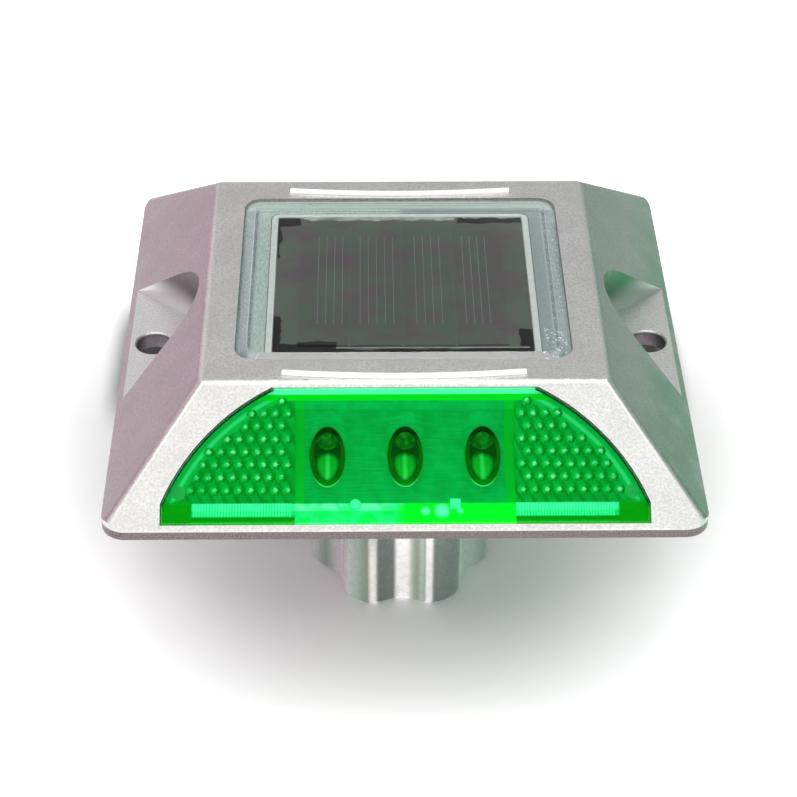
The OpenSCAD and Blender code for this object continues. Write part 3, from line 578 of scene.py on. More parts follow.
def grow(bm, tree, points=(), finish=0, **values):
    """Runs a tree on some points and adds the plain mesh that it makes to a bmesh. The finish is
    the place of its material in the list that the whole piece gets."""
    seed_mesh = bpy.data.meshes.new("seed")
    seed_mesh.from_pydata([tuple(p) for p in points], [], [])
    seed = bpy.data.objects.new("seed", seed_mesh)
    scene.collection.objects.link(seed)
    modifier = seed.modifiers.new("grow", "NODES")
    modifier.node_group = tree
    names = {item.name: item.identifier for item in tree.interface.items_tree
             if item.in_out == "INPUT"}
    for key, value in values.items():
        modifier[names[key.replace("_", " ").title()]] = value
    graph = bpy.context.evaluated_depsgraph_get()
    made = bpy.data.meshes.new_from_object(seed.evaluated_get(graph))
    old_faces = len(bm.faces)
    bm.from_mesh(made)
    bm.faces.ensure_lookup_table()
    for face in bm.faces[old_faces:]:
        face.material_index = finish
    bpy.data.objects.remove(seed)
    bpy.data.meshes.remove(made)
    return bm


# %% [markdown]
# A lens is one thick green moulding. Its face is polished, and its back does the optical work:
# fields of little prisms in both wings that throw light back, a thick flat-backed block in the
# middle with a pocket for each LED, and ribs and marks along the foot. Seen through the face, the
# back is what gives the lens its pattern, so it gets a finish of its own. A part of its colour is
# given as a faint glow, painted light that stands in for the light coloured plastic carries in
# from all its edges.

# %% Lens face
LENS_T, LENS_TOP = 3.0, 28.4
ARC_R, ARC_X, ARC_DROP = 45.1, 5.6, 11.75
BLOCK_HALF_W = 21.4
face_plastic, _, _ = new_finish(
    "polished_green_polycarbonate", base_color=tint("A4F8C0"), roughness=0.015, ior=1.58,
    transmission_weight=1.0, specular_ior_level=0.12)

# %% [markdown]
# The back's colour follows its form: even and slightly striped behind the block, darker in the
# fields of prisms, with painted shade in diagonal bands between them, lighter in the plain band
# that follows the round edge, with a painted highlight line in it, and brightest at the head and
# foot, painted light where the edges of the moulding gather light. Three bright spots, painted
# glints, stand on the right half of the foot. Its colour is also given as a faint glow.

# %% Lens back
BAND_W, FOOT_TOP, HEAD_FOOT, STRIP_END = 3.3, 5.7, 26.1, 41.4
PITCH_ACROSS, PITCH_UP, FIRST_ROW, FIRST_SHIFT = 2.36, 2.55, 2.33, 0.43
SHOULDER, HEAD_LINE, LINE_IN, LINE_OUT = 19.5, 27.4, 2.3, 1.1
GLINT_V, GLINTS = 4.0, ((3.9, 0.4, 1.1), (7.1, 0.8, 1.8), (10.6, 0.2, 0.8))
back_plastic, tree, shader = new_finish("moulded_back_of_green_lens", roughness=0.35, ior=1.58,
                                        specular_ior_level=0.0, emission_strength=0.45)
x, v, w = slope_places(tree)
half = add(tree, MATH, [x], 0, operation="ABSOLUTE")
flat = add(tree, JOIN, [x, v], 0)
cloud = add(tree, NOISE, [flat, 0.35, 3.0], "Fac")
cloudy = add(tree, RANGE, [cloud, 0.35, 0.65], 0, **SOFT)
stretched = add(tree, VECTOR, [flat, (0.12, 2.4, 1)], 0, operation="MULTIPLY")
stripes = add(tree, NOISE, [stretched, 1.0, 2.0], "Fac")
striped = add(tree, RANGE, [stripes, 0.4, 0.7], 0, **SOFT)
colour = add(tree, MIX, [cloudy, "02AA54", "04B65E"], 0, **COLOUR)
colour = add(tree, MIX, [add(tree, MATH, [striped, 0.3], 0, operation="MULTIPLY"), colour,
                         "1CC874"], 0, **COLOUR)
colour = lay(tree, colour, "04BE3C", half, SHOULDER, SHOULDER + 0.2)
in_wing = add(tree, RANGE, [half, BLOCK_HALF_W - 0.1, BLOCK_HALF_W + 0.1], 0, **SOFT)
field = add(tree, MIX, [cloudy, "00A440", "04B650"], 0, **COLOUR)
# Painted shade: dark diagonal bands between the prisms.
across = add(tree, MATH, [half, FIRST_SHIFT], 0, operation="SUBTRACT")
across = add(tree, MATH, [across, 2 * math.pi / PITCH_ACROSS], 0, operation="MULTIPLY")
down = add(tree, MATH, [v, LENS_TOP - FIRST_ROW], 0, operation="SUBTRACT")
down = add(tree, MATH, [down, math.pi / PITCH_UP], 0, operation="MULTIPLY")
down = add(tree, MATH, [down, add(tree, MATH, [x], 0, operation="SIGN")], 0, operation="MULTIPLY")
band = add(tree, MATH, [add(tree, MATH, [across, down], 0, operation="ADD")], 0,
           operation="COSINE")
field = lay(tree, field, "007A1A", band, 0.2, -0.9, 0.5)
colour = add(tree, MIX, [in_wing, colour, field], 0, **COLOUR)
from_arc = add(tree, VECTOR, [add(tree, JOIN, [half, v], 0), (ARC_X, -ARC_DROP, 0)], "Value",
               operation="DISTANCE")
colour = lay(tree, colour, "04C456", from_arc, ARC_R - BAND_W, ARC_R - BAND_W + 0.7)
# Painted highlight: a bright line near the round edge.
highlight_line = within(tree, (from_arc, ARC_R - LINE_IN, ARC_R - LINE_IN + 0.4),
                     (from_arc, ARC_R - LINE_OUT, ARC_R - LINE_OUT - 0.4))
colour = add(tree, MIX, [add(tree, MATH, [highlight_line, 0.5], 0, operation="MULTIPLY"), colour,
                         "60FFBC"], 0, **COLOUR)
# Painted light: the head and the foot are brightest.
colour = lay(tree, colour, "04DC28", v, HEAD_FOOT, HEAD_FOOT + 0.2)
colour = lay(tree, colour, "80FFE0", v, HEAD_LINE, HEAD_LINE + 0.2)
in_foot = add(tree, RANGE, [v, FOOT_TOP, FOOT_TOP - 0.2], 0, **SOFT)
on_back = add(tree, RANGE, [add(tree, SPLIT, [add(tree, PLACE, out="Object")], "Z"), 2.5 * MM,
                            2.7 * MM], 0, **SOFT)
left_part = add(tree, RANGE, [x, 0.2, -2.6], 0, **SOFT)
high_foot = lay(tree, "50F8B8", "8CFFE4", cloud, 0.42, 0.6)
high_foot = add(tree, MIX, [left_part, "04F83C", high_foot], 0, **COLOUR)
low_left = lay(tree, "14FA78", "34FAA8", cloud, 0.4, 0.6)
low_foot = add(tree, MIX, [left_part, "02FF3A", low_left], 0, **COLOUR)
middle_foot = add(tree, MIX, [on_back, low_foot, high_foot], 0, **COLOUR)
# Painted glints: three bright spots on the foot.
for spot_x, core, rim in GLINTS:
    spot = add(tree, VECTOR, [flat, (spot_x, GLINT_V, 0)], "Value", operation="DISTANCE")
    middle_foot = lay(tree, middle_foot, "84FFF0", spot, rim, core)
wing_back = add(tree, MIX, [cloudy, "2CF6B8", "54FFD8"], 0, **COLOUR)
wing_foot = add(tree, MIX, [on_back, "1CE488", wing_back], 0, **COLOUR)
under = lay(tree, "0AC61E", "04981A", v, 1.4, 2.4)
wing_foot = lay(tree, wing_foot, under, v, 3.2, 2.6)
foot_colour = add(tree, MIX, [in_wing, middle_foot, wing_foot], 0, **COLOUR)
colour = add(tree, MIX, [in_foot, colour, foot_colour], 0, **COLOUR)
in_corner = within(tree, (half, STRIP_END - 0.2, STRIP_END + 0.2), (v, 6.6, 5.4))
colour = add(tree, MIX, [in_corner, colour, "05AA12"], 0, **COLOUR)
colour = lay(tree, colour, "024A20", from_arc, ARC_R - 0.5, ARC_R - 0.2)
# Painted light: the colour is also given as a faint glow.
feed(tree, shader, base_color=colour, emission_color=colour)

# %% [markdown]
# A prism throws light straight back from its three-sided tip, so the tip is painted bright, a
# painted highlight, and its flanks are painted darker on the side turned from the light, a painted
# shade. The painted tips differ in brightness at random, and the colour is also given as a faint
# glow, painted light.

# %% Lens prisms
prism_plastic, tree, shader = new_finish("moulded_prisms_of_green_lens", roughness=0.35, ior=1.58,
                                         specular_ior_level=0.0, emission_strength=0.5)
x, v, w = slope_places(tree)
flat = add(tree, JOIN, [x, v], 0)
facing = add(tree, VECTOR, [add(tree, "ShaderNodeNewGeometry", out="Normal"), (0.85, 0.0, -0.5)],
             "Value", operation="DOT_PRODUCT")
# Painted shade: flanks turned from the light are darker.
colour = lay(tree, "08BC48", "008A1C", facing, -0.55, 0.25)
spread = add(tree, NOISE, [flat, 0.9, 1.0], "Fac")
# Painted highlight: the tips are pale and bright.
tip_highlight = lay(tree, "3ED88C", "9CFFD4", spread, 0.4, 0.62)
ragged = add(tree, NOISE, [flat, 4.0, 1.0], "Fac")
ragged_w = add(tree, MATH, [add(tree, MATH, [ragged, 0.5], 0, operation="MULTIPLY"), w], 0,
               operation="ADD")
colour = lay(tree, colour, tip_highlight, ragged_w, -LENS_T + 0.62, -LENS_T + 0.98)
feed(tree, shader, base_color=colour, emission_color=colour)
# The marks and ribs glow too, painted light, and the ribs are painted pale, as bright as the foot.
mark_plastic = grained("moulding_mark_of_green_lens", "08B858", "14C868", 1.5, 0.01, (0.3, 0.4),
                       ior=1.58, emission_color=tint("0CC060"), emission_strength=0.3)
rib_plastic = grained("moulded_ribs_of_green_lens", "48FCC4", "78FFE0", 2.5, 0.01, (0.3, 0.4),
                      ior=1.58, emission_color=tint("50FFD0"), emission_strength=0.45)

# %% [markdown]
# The wall of an LED's pocket has a painted reflection of the LED along its floor, and painted
# shade at its sides and roof. A pool of the LED's light is painted on the floor as a long oval.
# Round the mouth runs a flat step, painted dark, darkest at its top and lighter at its foot, whose
# outer lip has a painted highlight, brightest at its foot. Wall and step both glow faintly,
# painted light.

# %% Pocket walls
LED_PITCH, LED_Z, POCKET_R, BLOCK_BACK = 15.1, 11.4, 3.5, 40.05
MOUTH_Z, MOUTH_RX, MOUTH_RZ = 10.75, 3.66, 3.9
GLOW_MIDDLE, GLOW_HALF_W, GLOW_HALF_L = 48.7, 2.4, 4.6


def pocket_places(tree):
    """Distance from the nearest LED's axis, and the distances out and up, as outputs."""
    place = add(tree, PLACE, out="Object")
    axes = add(tree, SPLIT, [add(tree, VECTOR, [place], 0, operation="ABSOLUTE")])
    bay = add(tree, MATH, [axes.outputs["X"], LED_PITCH / 2 * MM], 0, operation="ADD")
    bay = add(tree, MATH, [bay, LED_PITCH * MM], 0, operation="MODULO")
    off_axis = add(tree, MATH, [bay, LED_PITCH / 2 * MM], 0, operation="SUBTRACT")
    off_axis = add(tree, MATH, [off_axis], 0, operation="ABSOLUTE")
    return off_axis, axes.outputs["Y"], axes.outputs["Z"]


def oval(tree, across, along, half_w, half_l):
    """A value that is 0 in the middle of an oval, sized in mm, and 1 on its edge."""
    joined = add(tree, JOIN, [across, along, 0.0], 0)
    scaled = add(tree, VECTOR, [joined, (1 / (half_w * MM), 1 / (half_l * MM), 0)], 0,
                 operation="MULTIPLY")
    return add(tree, VECTOR, [scaled], "Value", operation="LENGTH")


pocket_plastic, tree, shader = new_finish("polished_wall_of_led_pocket", roughness=0.2, ior=1.58,
                                          emission_strength=0.5)
off_axis, y, z = pocket_places(tree)
along = add(tree, MATH, [y, GLOW_MIDDLE * MM], 0, operation="SUBTRACT")
from_middle = oval(tree, off_axis, along, GLOW_HALF_W, GLOW_HALF_L)
# Painted light: a pool of the LED's light on the floor, with a painted reflection of the LED along
# it.
glow = within(tree, (from_middle, 1.0, 0.6), (z, LED_Z * MM, (LED_Z - 1.2) * MM))
led_reflection = add(tree, MATH, [add(tree, RANGE, [off_axis, 0.7 * MM, 0.1 * MM, 0.0, 0.7], 0, **SOFT),
                          glow], 0, operation="MULTIPLY")
# Painted shade: darker towards the roof.
colour = lay(tree, "02540A", "08340E", z, LED_Z * MM, (LED_Z + 2.0) * MM)
colour = add(tree, MIX, [glow, colour, "12BC3C"], 0, **COLOUR)
colour = add(tree, MIX, [led_reflection, colour, "50F48C"], 0, **COLOUR)
feed(tree, shader, base_color=colour, emission_color=colour)
step_plastic, tree, shader = new_finish("dark_step_of_led_pocket", roughness=0.35, ior=1.58,
                                        specular_ior_level=0.0, emission_strength=0.35)
off_axis, _, z = pocket_places(tree)
above = add(tree, MATH, [z, MOUTH_Z * MM], 0, operation="SUBTRACT")
from_axis = oval(tree, off_axis, above, MOUTH_RX, MOUTH_RZ)
# Painted shade on the step, darkest at the top, and a painted highlight on its lip, brightest at
# the foot.
at_foot = add(tree, RANGE, [z, (MOUTH_Z - 2.4) * MM, (MOUTH_Z - 3.6) * MM], 0, **SOFT)
colour = lay(tree, "04720C", "0A3812", z, (MOUTH_Z + 1.2) * MM, (MOUTH_Z + 3.0) * MM)
colour = add(tree, MIX, [at_foot, colour, "06960E"], 0, **COLOUR)
lip = add(tree, MIX, [at_foot, "30B85C", "8CFFC8"], 0, **COLOUR)
colour = lay(tree, colour, lip, from_axis, 0.925, 0.97)
feed(tree, shader, base_color=colour, emission_color=colour)

# %% [markdown]
# The lens itself is a welded copy of the solid. The solid's few coarse prisms are pressed flat
# into its back, the front edges are rounded, and each face is told which finish it has:
# clear green in front and over the LEDs, and the back's own finish everywhere behind.
# Then the prisms, marks, pegs and ribs are stamped on the inside of the back, at their real
# pitch: 2.36 mm across and 2.55 mm up, in staggered rows.

# %% Lens mouldings
PRISM_ROWS, FIELD_END, FIELD_FOOT, FIELD_EDGE = 8, 42.0, 6.5, 2.2
RIB_PITCH, RIB_FIRST, RIB_FIELD_W = 0.55, 21.7, 19.3
LENS_ROUND = 0.3 * MM


def prism_places():
    """Where the tips of the prisms are on the back, as x and v, for both wings."""
    places = []
    for row in range(PRISM_ROWS):
        v = LENS_TOP - FIRST_ROW - row * PITCH_UP
        for column in range(20):
            x = (column + (row % 2) / 2) * PITCH_ACROSS + FIRST_SHIFT
            reach = math.hypot(x - ARC_X, v + ARC_DROP)
            if BLOCK_HALF_W + 0.9 < x < FIELD_END and v > FIELD_FOOT and reach < ARC_R - FIELD_EDGE:
                places += [(x, v), (-x, v)]
    return places


def mouth_y(z, inset):
    """Distance from the middle of the stud, in mm, to the slope at one height, less an inset."""
    return HALF_D / MM - (z - RIM / MM) / math.tan(FRONT_SLOPE) - inset


def line_pocket(bm, x, end):
    """A sleeve inside one LED pocket: wide at its mouth, which follows the slope, with a flat
    step round it, and narrow round the LED."""
    sides, rings = 40, []
    for across, up, centre, behind in (
            (MOUTH_RX - 0.05, MOUTH_RZ - 0.05, MOUTH_Z, None),
            (MOUTH_RX - 0.05, MOUTH_RZ - 0.05, MOUTH_Z, BLOCK_BACK),
            (3.05, 3.05, LED_Z, BLOCK_BACK), (2.75, 3.0, MOUTH_Z, None)):
        ring = []
        for i in range(sides):
            turn = 2 * math.pi * i / sides
            z = centre + up * math.sin(turn)
            ring.append(bm.verts.new(((x + across * math.cos(turn)) * MM,
                                      end * (behind or mouth_y(z, 1.42)) * MM, z * MM)))
        rings.append(ring)
    for face in join_rings(bm, rings + rings[:1])[-sides:]:
        face.material_index = 1
    bmesh.ops.recalc_face_normals(bm, faces=bm.faces)


def widen_pockets(bm, end):
    """The real pockets are a little wider and lower at their mouth than the solid's."""
    for vert in bm.verts:
        x, y, z = (c / MM for c in vert.co)
        lamp = round(x / LED_PITCH)
        dx, dz = x - lamp * LED_PITCH, z - LED_Z
        if abs(lamp) > 1 or abs(math.hypot(dx, dz) - POCKET_R) > 0.05:
            continue
        z = MOUTH_Z + dz * MOUTH_RZ / POCKET_R
        if abs(y) > BLOCK_BACK + 0.5:
            y = end * mouth_y(z, 0.8 / RISE)
        vert.co = Vector((lamp * LED_PITCH + dx * MOUTH_RX / POCKET_R, y, z)) * MM


def stamp_back(name, end):
    """Everything that stands on the inside of one lens's back."""
    relief = bmesh.new()
    lean = (FRONT_SLOPE if end < 0 else -FRONT_SLOPE, 0, 0)
    back = -LENS_T - 0.05
    grow(relief, stamp_tree, [on_slope(x, v, back, end) for x, v in prism_places()],
         sides=6, foot_radius=1.25 * MM, tip_radius=0.12 * MM, height=0.85 * MM, turn=lean,
         material=prism_plastic)
    grow(relief, stamp_tree, [on_slope(x, 7.8, back, end) for x in (-44.0, 44.0)],
         sides=24, foot_radius=1.35 * MM, tip_radius=1.35 * MM, height=0.3 * MM, turn=lean,
         material=mark_plastic, finish=1)
    for x, sides, radius in ((-9.7, 20, 1.05), (9.7, 4, 1.45)):
        spun = Matrix.Rotation(lean[0], 3, "X") @ Matrix.Rotation(math.pi / 4, 3, "Z")
        grow(relief, stamp_tree, [on_slope(-end * x, 5.4, back, end)], sides=sides,
             foot_radius=radius * MM, tip_radius=0.9 * radius * MM, height=1.0 * MM,
             turn=tuple(spun.to_euler()), material=rib_plastic, finish=2)
    for first in (-RIB_FIRST - RIB_FIELD_W, RIB_FIRST):
        for start, length, turn in ((on_slope(first, 4.85, back - 0.04, end), 1.7, lean),
                                    (Vector((first, end * 56.8, 2.5)) * MM, 1.1, (0, 0, 0))):
            grow(relief, row_tree, count=int(RIB_FIELD_W / RIB_PITCH), start=start,
                 step=(RIB_PITCH * MM, 0, 0), size=(0.3 * MM, length * MM, 0.3 * MM), turn=turn,
                 material=rib_plastic, finish=2)
    piece = new_piece(name, relief, [prism_plastic, mark_plastic, rib_plastic], 20)
    finish_piece(piece, "green_lens")


def lens_moulding(name, node, end):
    """One lens, and the pieces that stand inside it."""
    bm = copy_of(node)
    outward = Vector((0, end * RISE, RUN))

    def depth(point):
        return ((abs(point.y) - HALF_D) * RISE + (point.z - RIM) * RUN) / MM
    tips = [v for v in bm.verts if abs(v.co.x) > 21.6 * MM and depth(v.co) < -LENS_T - 0.3]
    for tip in tips:
        tip.co += outward * (-LENS_T - depth(tip.co)) * MM
    bmesh.ops.dissolve_limit(bm, angle_limit=math.radians(0.3), verts=bm.verts, edges=bm.edges)
    widen_pockets(bm, end)
    for vert in bm.verts:
        if abs(depth(vert.co) + LENS_T) < 0.02:
            vert.co += outward * 0.04 * MM
    front_edges = [e for e in bm.edges if len(e.link_faces) == 2
                   and all(abs(depth(v.co)) < 0.02 for v in e.verts)
                   and e.calc_face_angle() > math.radians(25)]
    round_edges(bm, front_edges, LENS_ROUND)
    for face in bm.faces:
        middle, normal = face.calc_center_median(), face.normal
        on_face = depth(middle) > -0.4 and normal.dot(outward) > 0.3
        over_pocket = abs(middle.x) < 19 * MM and -1.2 < depth(middle) < -0.4 \
            and normal.dot(outward) < -0.95
        face.material_index = 0 if on_face or over_pocket else 1
    print(name, "tips pressed flat:", len(tips), "front edges:", len(front_edges),
          "open edges:", open_edges(bm), "finishes:",
          [sum(1 for f in bm.faces if f.material_index == i) for i in range(2)])
    piece = new_piece(name, bm, [face_plastic, back_plastic], 30)
    finish_piece(piece, "green_lens", node)
    stamp_back(name + "_prisms", end)
    lining = bmesh.new()
    for lamp in (-1, 0, 1):
        line_pocket(lining, lamp * LED_PITCH, end)
    finish_piece(new_piece(name + "_pocket_walls", lining, [pocket_plastic, step_plastic], 40),
                 "green_lens")


lens_moulding("front_lens_moulding", "front_lens", -1)
lens_moulding("rear_lens_moulding", "rear_lens", 1)

# %% [markdown]
# An LED is a clear epoxy bullet. In its pocket it only meets green light, so it is painted dark
# green, painted shade and green light, with a painted highlight arc where the light slides along
# its round top. It also glows faintly, painted light.

# %% LEDs
led_epoxy, tree, shader = new_finish("cast_epoxy_led", roughness=0.08, ior=1.54,
                                     specular_ior_level=0.2, emission_strength=0.4)
ring = add(tree, "ShaderNodeLayerWeight", {"Blend": 0.5}, "Facing")
upward = add(tree, SPLIT, [add(tree, "ShaderNodeNewGeometry", out="Normal")], "Z")
# Painted highlight: a lighter arc along the round top.
highlight_arc = within(tree, (ring, 0.35, 0.75), (upward, -0.1, 0.6))
place = add(tree, PLACE, out="Object")
cloud = add(tree, NOISE, [place, 1 / (1.2 * MM), 2.0, 0.6], "Fac")
body = lay(tree, "067014", "14A030", cloud, 0.4, 0.7)
colour = add(tree, MIX, [highlight_arc, body, "48D870"], 0, **COLOUR)
feed(tree, shader, base_color=colour, emission_color=colour)
dress(led_epoxy, *[f"{end}_{side}_led" for end in ("front", "rear")
                   for side in ("left", "centre", "right")])

# %% [markdown]
# The window is a thick clear slab with a sloped edge, glued over the solar panel. It is real
# glass-like plastic here too, so what lies under its bevel is bent as it is on the real one. Its
# upright sides are bonded to the casting with silicone. They are given a faint glow, painted
# light, and are lighter on the rear side.

# %% Window
WINDOW_FOOT, WINDOW_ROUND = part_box("top_window")[0][2], 0.15 * MM
LEDGE_HALF_W, LEDGE_HALF_D = 28.05, 27.45
clear, _, _ = new_finish("clear_polycarbonate", base_color=tint("F6FBFA"), roughness=0.02, ior=1.5,
                         transmission_weight=1.0)
bonded, tree, shader = new_finish("window_edge_bonded_with_silicone", roughness=0.5,
                                  emission_strength=0.32)
place = add(tree, PLACE, out="Object")
cloud = add(tree, NOISE, [place, 1 / (2.5 * MM), 3.0, 0.6], "Fac")
# Painted light: the bonded sides glow faintly, and are lighter on the rear side.
shade = lay(tree, "7E9A96", "A8C2BE", cloud, 0.35, 0.65)
shade = lay(tree, shade, "ECF4F0", add(tree, SPLIT, [place], "Y"), 28 * MM, 29.5 * MM)
feed(tree, shader, base_color=shade, emission_color=shade)
bm = copy_of("top_window")
edges = [e for e in bm.edges if len(e.link_faces) == 2 and e.is_convex
         and e.calc_face_angle() > math.radians(12)
         and min(v.co.z for v in e.verts) > DECK - 1.2 * MM]
round_edges(bm, edges, WINDOW_ROUND)
for face in bm.faces:
    face.material_index = 1 if abs(face.normal.z) < 0.1 else 0
for vert in bm.verts:
    if vert.co.z < WINDOW_FOOT + 0.01 * MM:
        vert.co.z += 0.03 * MM
finish_piece(new_piece("clear_window_slab", bm, [clear, bonded], 25), "clear_window",
             "top_window")

# %% [markdown]
# Where the slab was poured thickest the plastic kept some air. The bubbles are scattered by a
# fixed seed, so that they stay where they are from one run to the next. They are painted white
# and glow, painted glints.

# %% Bubbles in the window
BUBBLES = [
    # count, low corner and high corner of their box in mm, largest radius in mm, seed
    (34, (28.6, -27.8, 17.3), (32.6, -18.5, 19.6), 0.24, 4),
    (14, (30.6, -18.0, 17.3), (32.8, 24.0, 19.4), 0.16, 9)]
# Painted glints: the bubbles are white and glow.
air, _, _ = new_finish("air_bubble_in_plastic", base_color=tint("F4FAF8"), roughness=0.1,
                       emission_color=tint("E8F4F0"), emission_strength=0.55)
bubbles = bmesh.new()
for count, low, high, radius, seed in BUBBLES:
    grow(bubbles, bubble_tree, count=count, low_corner=[c * MM for c in low],
         high_corner=[c * MM for c in high], radius=radius * MM, seed=seed, material=air)
finish_piece(new_piece("window_bubbles", bubbles, [air], 60), "clear_window")

# %% [markdown]
# Under the slab's border lies the silicone that beds it. It is grey with pull marks towards the
# casting. What was squeezed out inwards covers the ledge as a thin bead, and looks greenish. It
# glows faintly, painted light.

# %% Window bedding
# Painted light: the silicone glows faintly.
bed, tree, shader = new_finish("bedding_silicone", roughness=0.4, emission_strength=0.25)
place = add(tree, PLACE, out="Object")
folded = add(tree, VECTOR, [place], 0, operation="ABSOLUTE")
inset = add(tree, VECTOR, [folded, (30.7 * MM, 28.9 * MM, 0)], 0, operation="SUBTRACT")
axes = add(tree, SPLIT, [inset])
past = add(tree, MATH, [axes.outputs["X"], axes.outputs["Y"]], 0, operation="MAXIMUM")
stretched = add(tree, VECTOR, [place, (1.0, 0.35, 1.0)], 0, operation="MULTIPLY")
pulled = add(tree, NOISE, [stretched, 1 / (0.35 * MM), 3.0, 0.7], "Fac")
pull = add(tree, RANGE, [pulled, 0.35, 0.65], 0, **SOFT)
grey = add(tree, MIX, [pull, "80898B", "A6AEB0"], 0, **COLOUR)
grey = lay(tree, grey, "CED6D4", add(tree, SPLIT, [place], "Y"), 28 * MM, 29 * MM)
green = add(tree, MIX, [pull, "B0BCB7", "CED8D3"], 0, **COLOUR)
on_right = add(tree, RANGE, [add(tree, SPLIT, [place], "X"), -1 * MM, 1 * MM, 0.0, 0.7], 0)
green = add(tree, MIX, [on_right, green, "90989A"], 0, **COLOUR)
colour = lay(tree, green, grey, past, -0.1 * MM, 0.1 * MM)
colour = lay(tree, colour, "B4BCBC", add(tree, MATH, [past], 0, operation="ABSOLUTE"), 0.3 * MM,
             0.1 * MM)
feed(tree, shader, base_color=colour, emission_color=colour)
dress(bed, "window_seal")
BEAD_OUT, BEAD_IN, BEAD_Z, BEAD_T = (31.5, 28.2), (LEDGE_HALF_W, LEDGE_HALF_D), 16.31, 0.22
BEAD_R = 2.0
bead = bmesh.new()
bands = []
for (half_w, half_d), z in ((BEAD_OUT, BEAD_Z), (BEAD_OUT, BEAD_Z + BEAD_T),
                            (BEAD_IN, BEAD_Z + BEAD_T), (BEAD_IN, BEAD_Z)):
    band = []
    for sx, sy, start in ((1, 1, 0), (-1, 1, 90), (-1, -1, 180), (1, -1, 270)):
        for turn in (math.radians(start + step * 15) for step in range(7)):
            band.append(bead.verts.new(((sx * (half_w - BEAD_R) + BEAD_R * math.cos(turn)) * MM,
                                        (sy * (half_d - BEAD_R) + BEAD_R * math.sin(turn)) * MM,
                                        z * MM)))
    bands.append(band)
join_rings(bead, bands + bands[:1])
bmesh.ops.recalc_face_normals(bead, faces=bead.faces)
finish_piece(new_piece("window_bead", bead, [bed], 30), "window_silicone")

# %% [markdown]
# The solar panel is a black board under a skin of clear resin. The silicon is barely darker than
# the resin round it, and shows mostly by its thin printed contacts, in groups of four or five.
# The resin thins out to a ragged dark border along the front and in the corners.

# %% Solar panel
BARE_PATCHES = [
    # left, right, front and rear end of each bare patch, in mm
    (-30, -13.5, -30, -21.4), (-30, 30, -30, -23.3), (23.4, 30, -30, -16.5),
    (-30, -25.0, -30, -12.0), (-30, -21.5, 22.8, 30), (-30, -25.6, 10.0, 30), (12.0, 30, 23.6, 30)]
CONTACTS = [
    # x of the first line, step and count of each group, in mm
    (-17.5, 1.70, 4), (-8.7, 1.73, 5), (2.9, 1.76, 4), (13.1, 1.63, 4)]


def laminate(name, colour, other):
    """The panel's finish: resin over black, with bare patches at its border."""
    material, tree, shader = new_finish(name, roughness=0.22, ior=1.5, specular_ior_level=0.15)
    place = add(tree, PLACE, out="Object")
    cloud = add(tree, NOISE, [place, 1 / (14 * MM), 3.0, 0.6], "Fac")
    skin = lay(tree, colour, other, cloud, 0.4, 0.65)
    hue = add(tree, NOISE, [place, 1 / (6 * MM), 1.0, 0.6], "Fac")
    skin = lay(tree, skin, "886E7C", hue, 0.52, 0.72, 0.55)
    skin = lay(tree, skin, "6C8670", hue, 0.48, 0.28, 0.5)
    wobble = add(tree, NOISE, [place, 1 / (5 * MM), 2.0, 0.6], "Fac")
    wobble = add(tree, RANGE, [wobble, 0.0, 1.0, -1.3 * MM, 1.3 * MM], 0)
    axes = add(tree, SPLIT, [place])
    x = add(tree, MATH, [axes.outputs["X"], wobble], 0, operation="ADD")
    y = add(tree, MATH, [axes.outputs["Y"], wobble], 0, operation="ADD")
    bare = 0.0
    for left, right, front, rear in BARE_PATCHES:
        inside = within(tree, *[(value, edge * MM, (edge + soft) * MM) for value, edge, soft in (
            (x, left, 0.25), (x, right, -0.25), (y, front, 0.25), (y, rear, -0.25))])
        bare = add(tree, MATH, [bare, inside], 0, operation="MAXIMUM")
    feed(tree, shader, base_color=add(tree, MIX, [bare, skin, "403C3D"], 0, **COLOUR))
    return material


dress(laminate("black_epoxy_laminate", "7F7C79", "80847C"), "solar_panel_board")
dress(laminate("silicon_under_resin", "7A7775", "7C8078"), "solar_cells")
silver, _, _ = new_finish("printed_silver_contact", base_color=tint("B4B4BA"), metallic=0.5,
                          roughness=0.4)
contacts = bmesh.new()
CELL_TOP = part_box("solar_cells")[1][2]
for first, step, count in CONTACTS:
    grow(contacts, row_tree, count=count, start=(first * MM, 1.5 * MM, CELL_TOP),
         step=(step * MM, 0, 0), size=(0.11 * MM, 33 * MM, 0.06 * MM), turn=(0, 0, 0),
         material=silver)
finish_piece(new_piece("cell_contacts", contacts, [silver], None), "silicon_cells")

# %% [markdown]
# Some white potting resin ran over the rear edge of the panel before it set. It is a thin sheet
# with a ragged front edge, a sum of a few waves that never line up. A thin straight line of the
# same resin lies near the front edge.

# %% Resin smear
SMEAR_X, SMEAR_REAR, SMEAR_W = (-22.0, 25.0), 26.3, 1.4
smear = bmesh.new()
steps, rows = 120, []
for i in range(steps + 1):
    x = SMEAR_X[0] + (SMEAR_X[1] - SMEAR_X[0]) * i / steps
    ragged = 0.35 * math.sin(x * 0.9) + 0.2 * math.sin(x * 2.3 + 1) + 0.12 * math.sin(x * 5.1)
    width = SMEAR_W * min(1.0, 0.3 + i / 12) * (1.0 if x < 12 else 0.35) + ragged * 0.6
    front = SMEAR_REAR - max(width, 0.15)
    rows.append([smear.verts.new((x * MM, y * MM, z * MM))
                 for y, z in ((front, 16.22), (front + 0.1, 16.34), (SMEAR_REAR, 16.38),
                              (SMEAR_REAR, 16.22))])
join_rings(smear, rows)
smear.faces.new(rows[0])
smear.faces.new(rows[-1])
bmesh.ops.recalc_face_normals(smear, faces=smear.faces)
resin = grained("white_potting_resin", "A8ACA8", "DCE0DC", 3.0, 0.05, (0.25, 0.4))
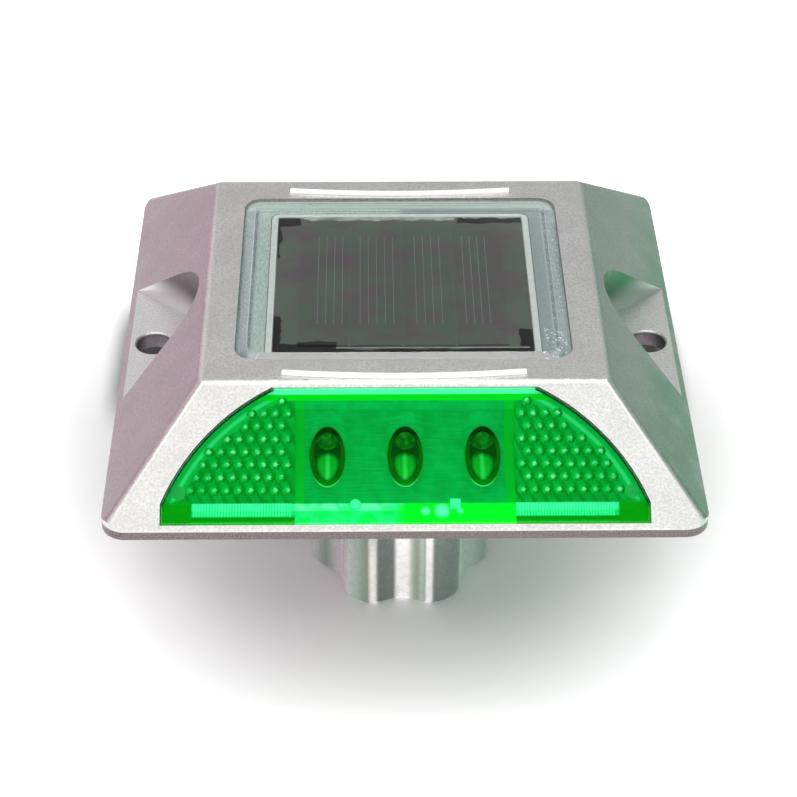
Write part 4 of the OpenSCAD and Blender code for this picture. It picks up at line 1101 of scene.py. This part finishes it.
grow(smear, row_tree, count=1, start=(6.0 * MM, -23.1 * MM, 16.25 * MM), step=(1.0, 0, 0),
     size=(39 * MM, 0.28 * MM, 0.06 * MM), turn=(0, 0, 0), material=resin)
finish_piece(new_piece("resin_smear", smear, [resin], 40), "panel_laminate")

# %% [markdown]
# The rest of the stud is out of sight until it is opened, but every part has its real finish:
# steel screws, green circuit boards, black chips, red wires, a wrapped cell in a foam sleeve.

# %% Parts inside
INSIDE = [
    # finish, colour, other colour, grain mm, depth mm, roughness, constants, solids
    # The tray glows faintly, painted light that lifts it where it lies in shade.
    ("white_abs_tray", "FCFCFA", "F0F0EC", 0.8, 0.01, (0.4, 0.55),
     {"emission_color": tint("F4F6F4"), "emission_strength": 0.12}, ["carrier_tray"]),
    ("translucent_lens_silicone", "A8CCB6", "CCE6DC", 1.2, 0.04, (0.35, 0.5), {},
     ["front_lens_seal", "rear_lens_seal"]),
    ("black_epdm_rubber", "1A1A1B", "2A2A2B", 0.6, 0.03, (0.7, 0.85), {}, ["base_gasket"]),
    ("zinc_plated_screw_steel", "B4B6B4", "D8DAD8", 0.5, 0.01, (0.22, 0.38), {"metallic": 1.0},
     ["base_screws", "carrier_screws", "board_screws"]),
    ("green_solder_mask", "0E4A28", "155C34", 1.2, 0.02, (0.3, 0.42), {},
     ["main_board", "front_led_board", "rear_led_board"]),
    ("moulded_black_epoxy", "141415", "242426", 0.4, 0.02, (0.5, 0.65), {},
     ["control_chip", "driver_transistors", "blocking_diode"]),
    ("red_pvc_insulation", "A01212", "BE2020", 1.5, 0.01, (0.35, 0.5), {},
     ["panel_leads", "battery_leads", "front_led_leads", "rear_led_leads"]),
    ("blue_heat_shrink_wrap", "1A4486", "2458A4", 3.0, 0.02, (0.25, 0.4), {}, ["battery_cell"]),
    ("grey_polyethylene_foam", "38383A", "4E4E50", 0.7, 0.12, (0.85, 0.95), {},
     ["battery_sleeve"]),
    ("rolled_nickel_strip", "B8B09E", "D2CCBC", 0.5, 0.01, (0.25, 0.4), {"metallic": 1.0},
     ["battery_tabs"]),
    ("black_capacitor_sleeve", "1C222E", "2C3444", 1.5, 0.01, (0.3, 0.45), {},
     ["storage_capacitors"]),
]
for name, colour, other, grain, bump, rough, constants, nodes in INSIDE:
    dress(grained(name, colour, other, grain, bump, rough, **constants), *nodes)
print("hidden finishes:", len(INSIDE))

# %% [markdown]
# The inductor is a ferrite drum with copper wire wound round its middle, so its finish changes
# from grey ferrite to copper by height. The turns of wire are 0.4 mm apart.

# %% Inductor
COIL_LOW, COIL_HIGH, WIRE = 4.9 * MM, 7.1 * MM, 0.4 * MM
ferrite, tree, shader = new_finish("ferrite_wound_with_copper", roughness=0.45)
z = add(tree, SPLIT, [add(tree, PLACE, out="Object")], "Z")
coil = within(tree, (z, COIL_LOW, COIL_LOW + 0.1 * MM), (z, COIL_HIGH, COIL_HIGH - 0.1 * MM))
turns = add(tree, MATH, [add(tree, MATH, [z, 2 * math.pi / WIRE], 0, operation="MULTIPLY")], 0,
            operation="SINE")
wire = add(tree, MIX, [add(tree, RANGE, [turns, -1.0, 1.0], 0), "7A3A18", "C87840"], 0, **COLOUR)
feed(tree, shader, base_color=add(tree, MIX, [coil, "2E2E30", wire], 0, **COLOUR), metallic=coil)
dress(ferrite, "power_inductor")
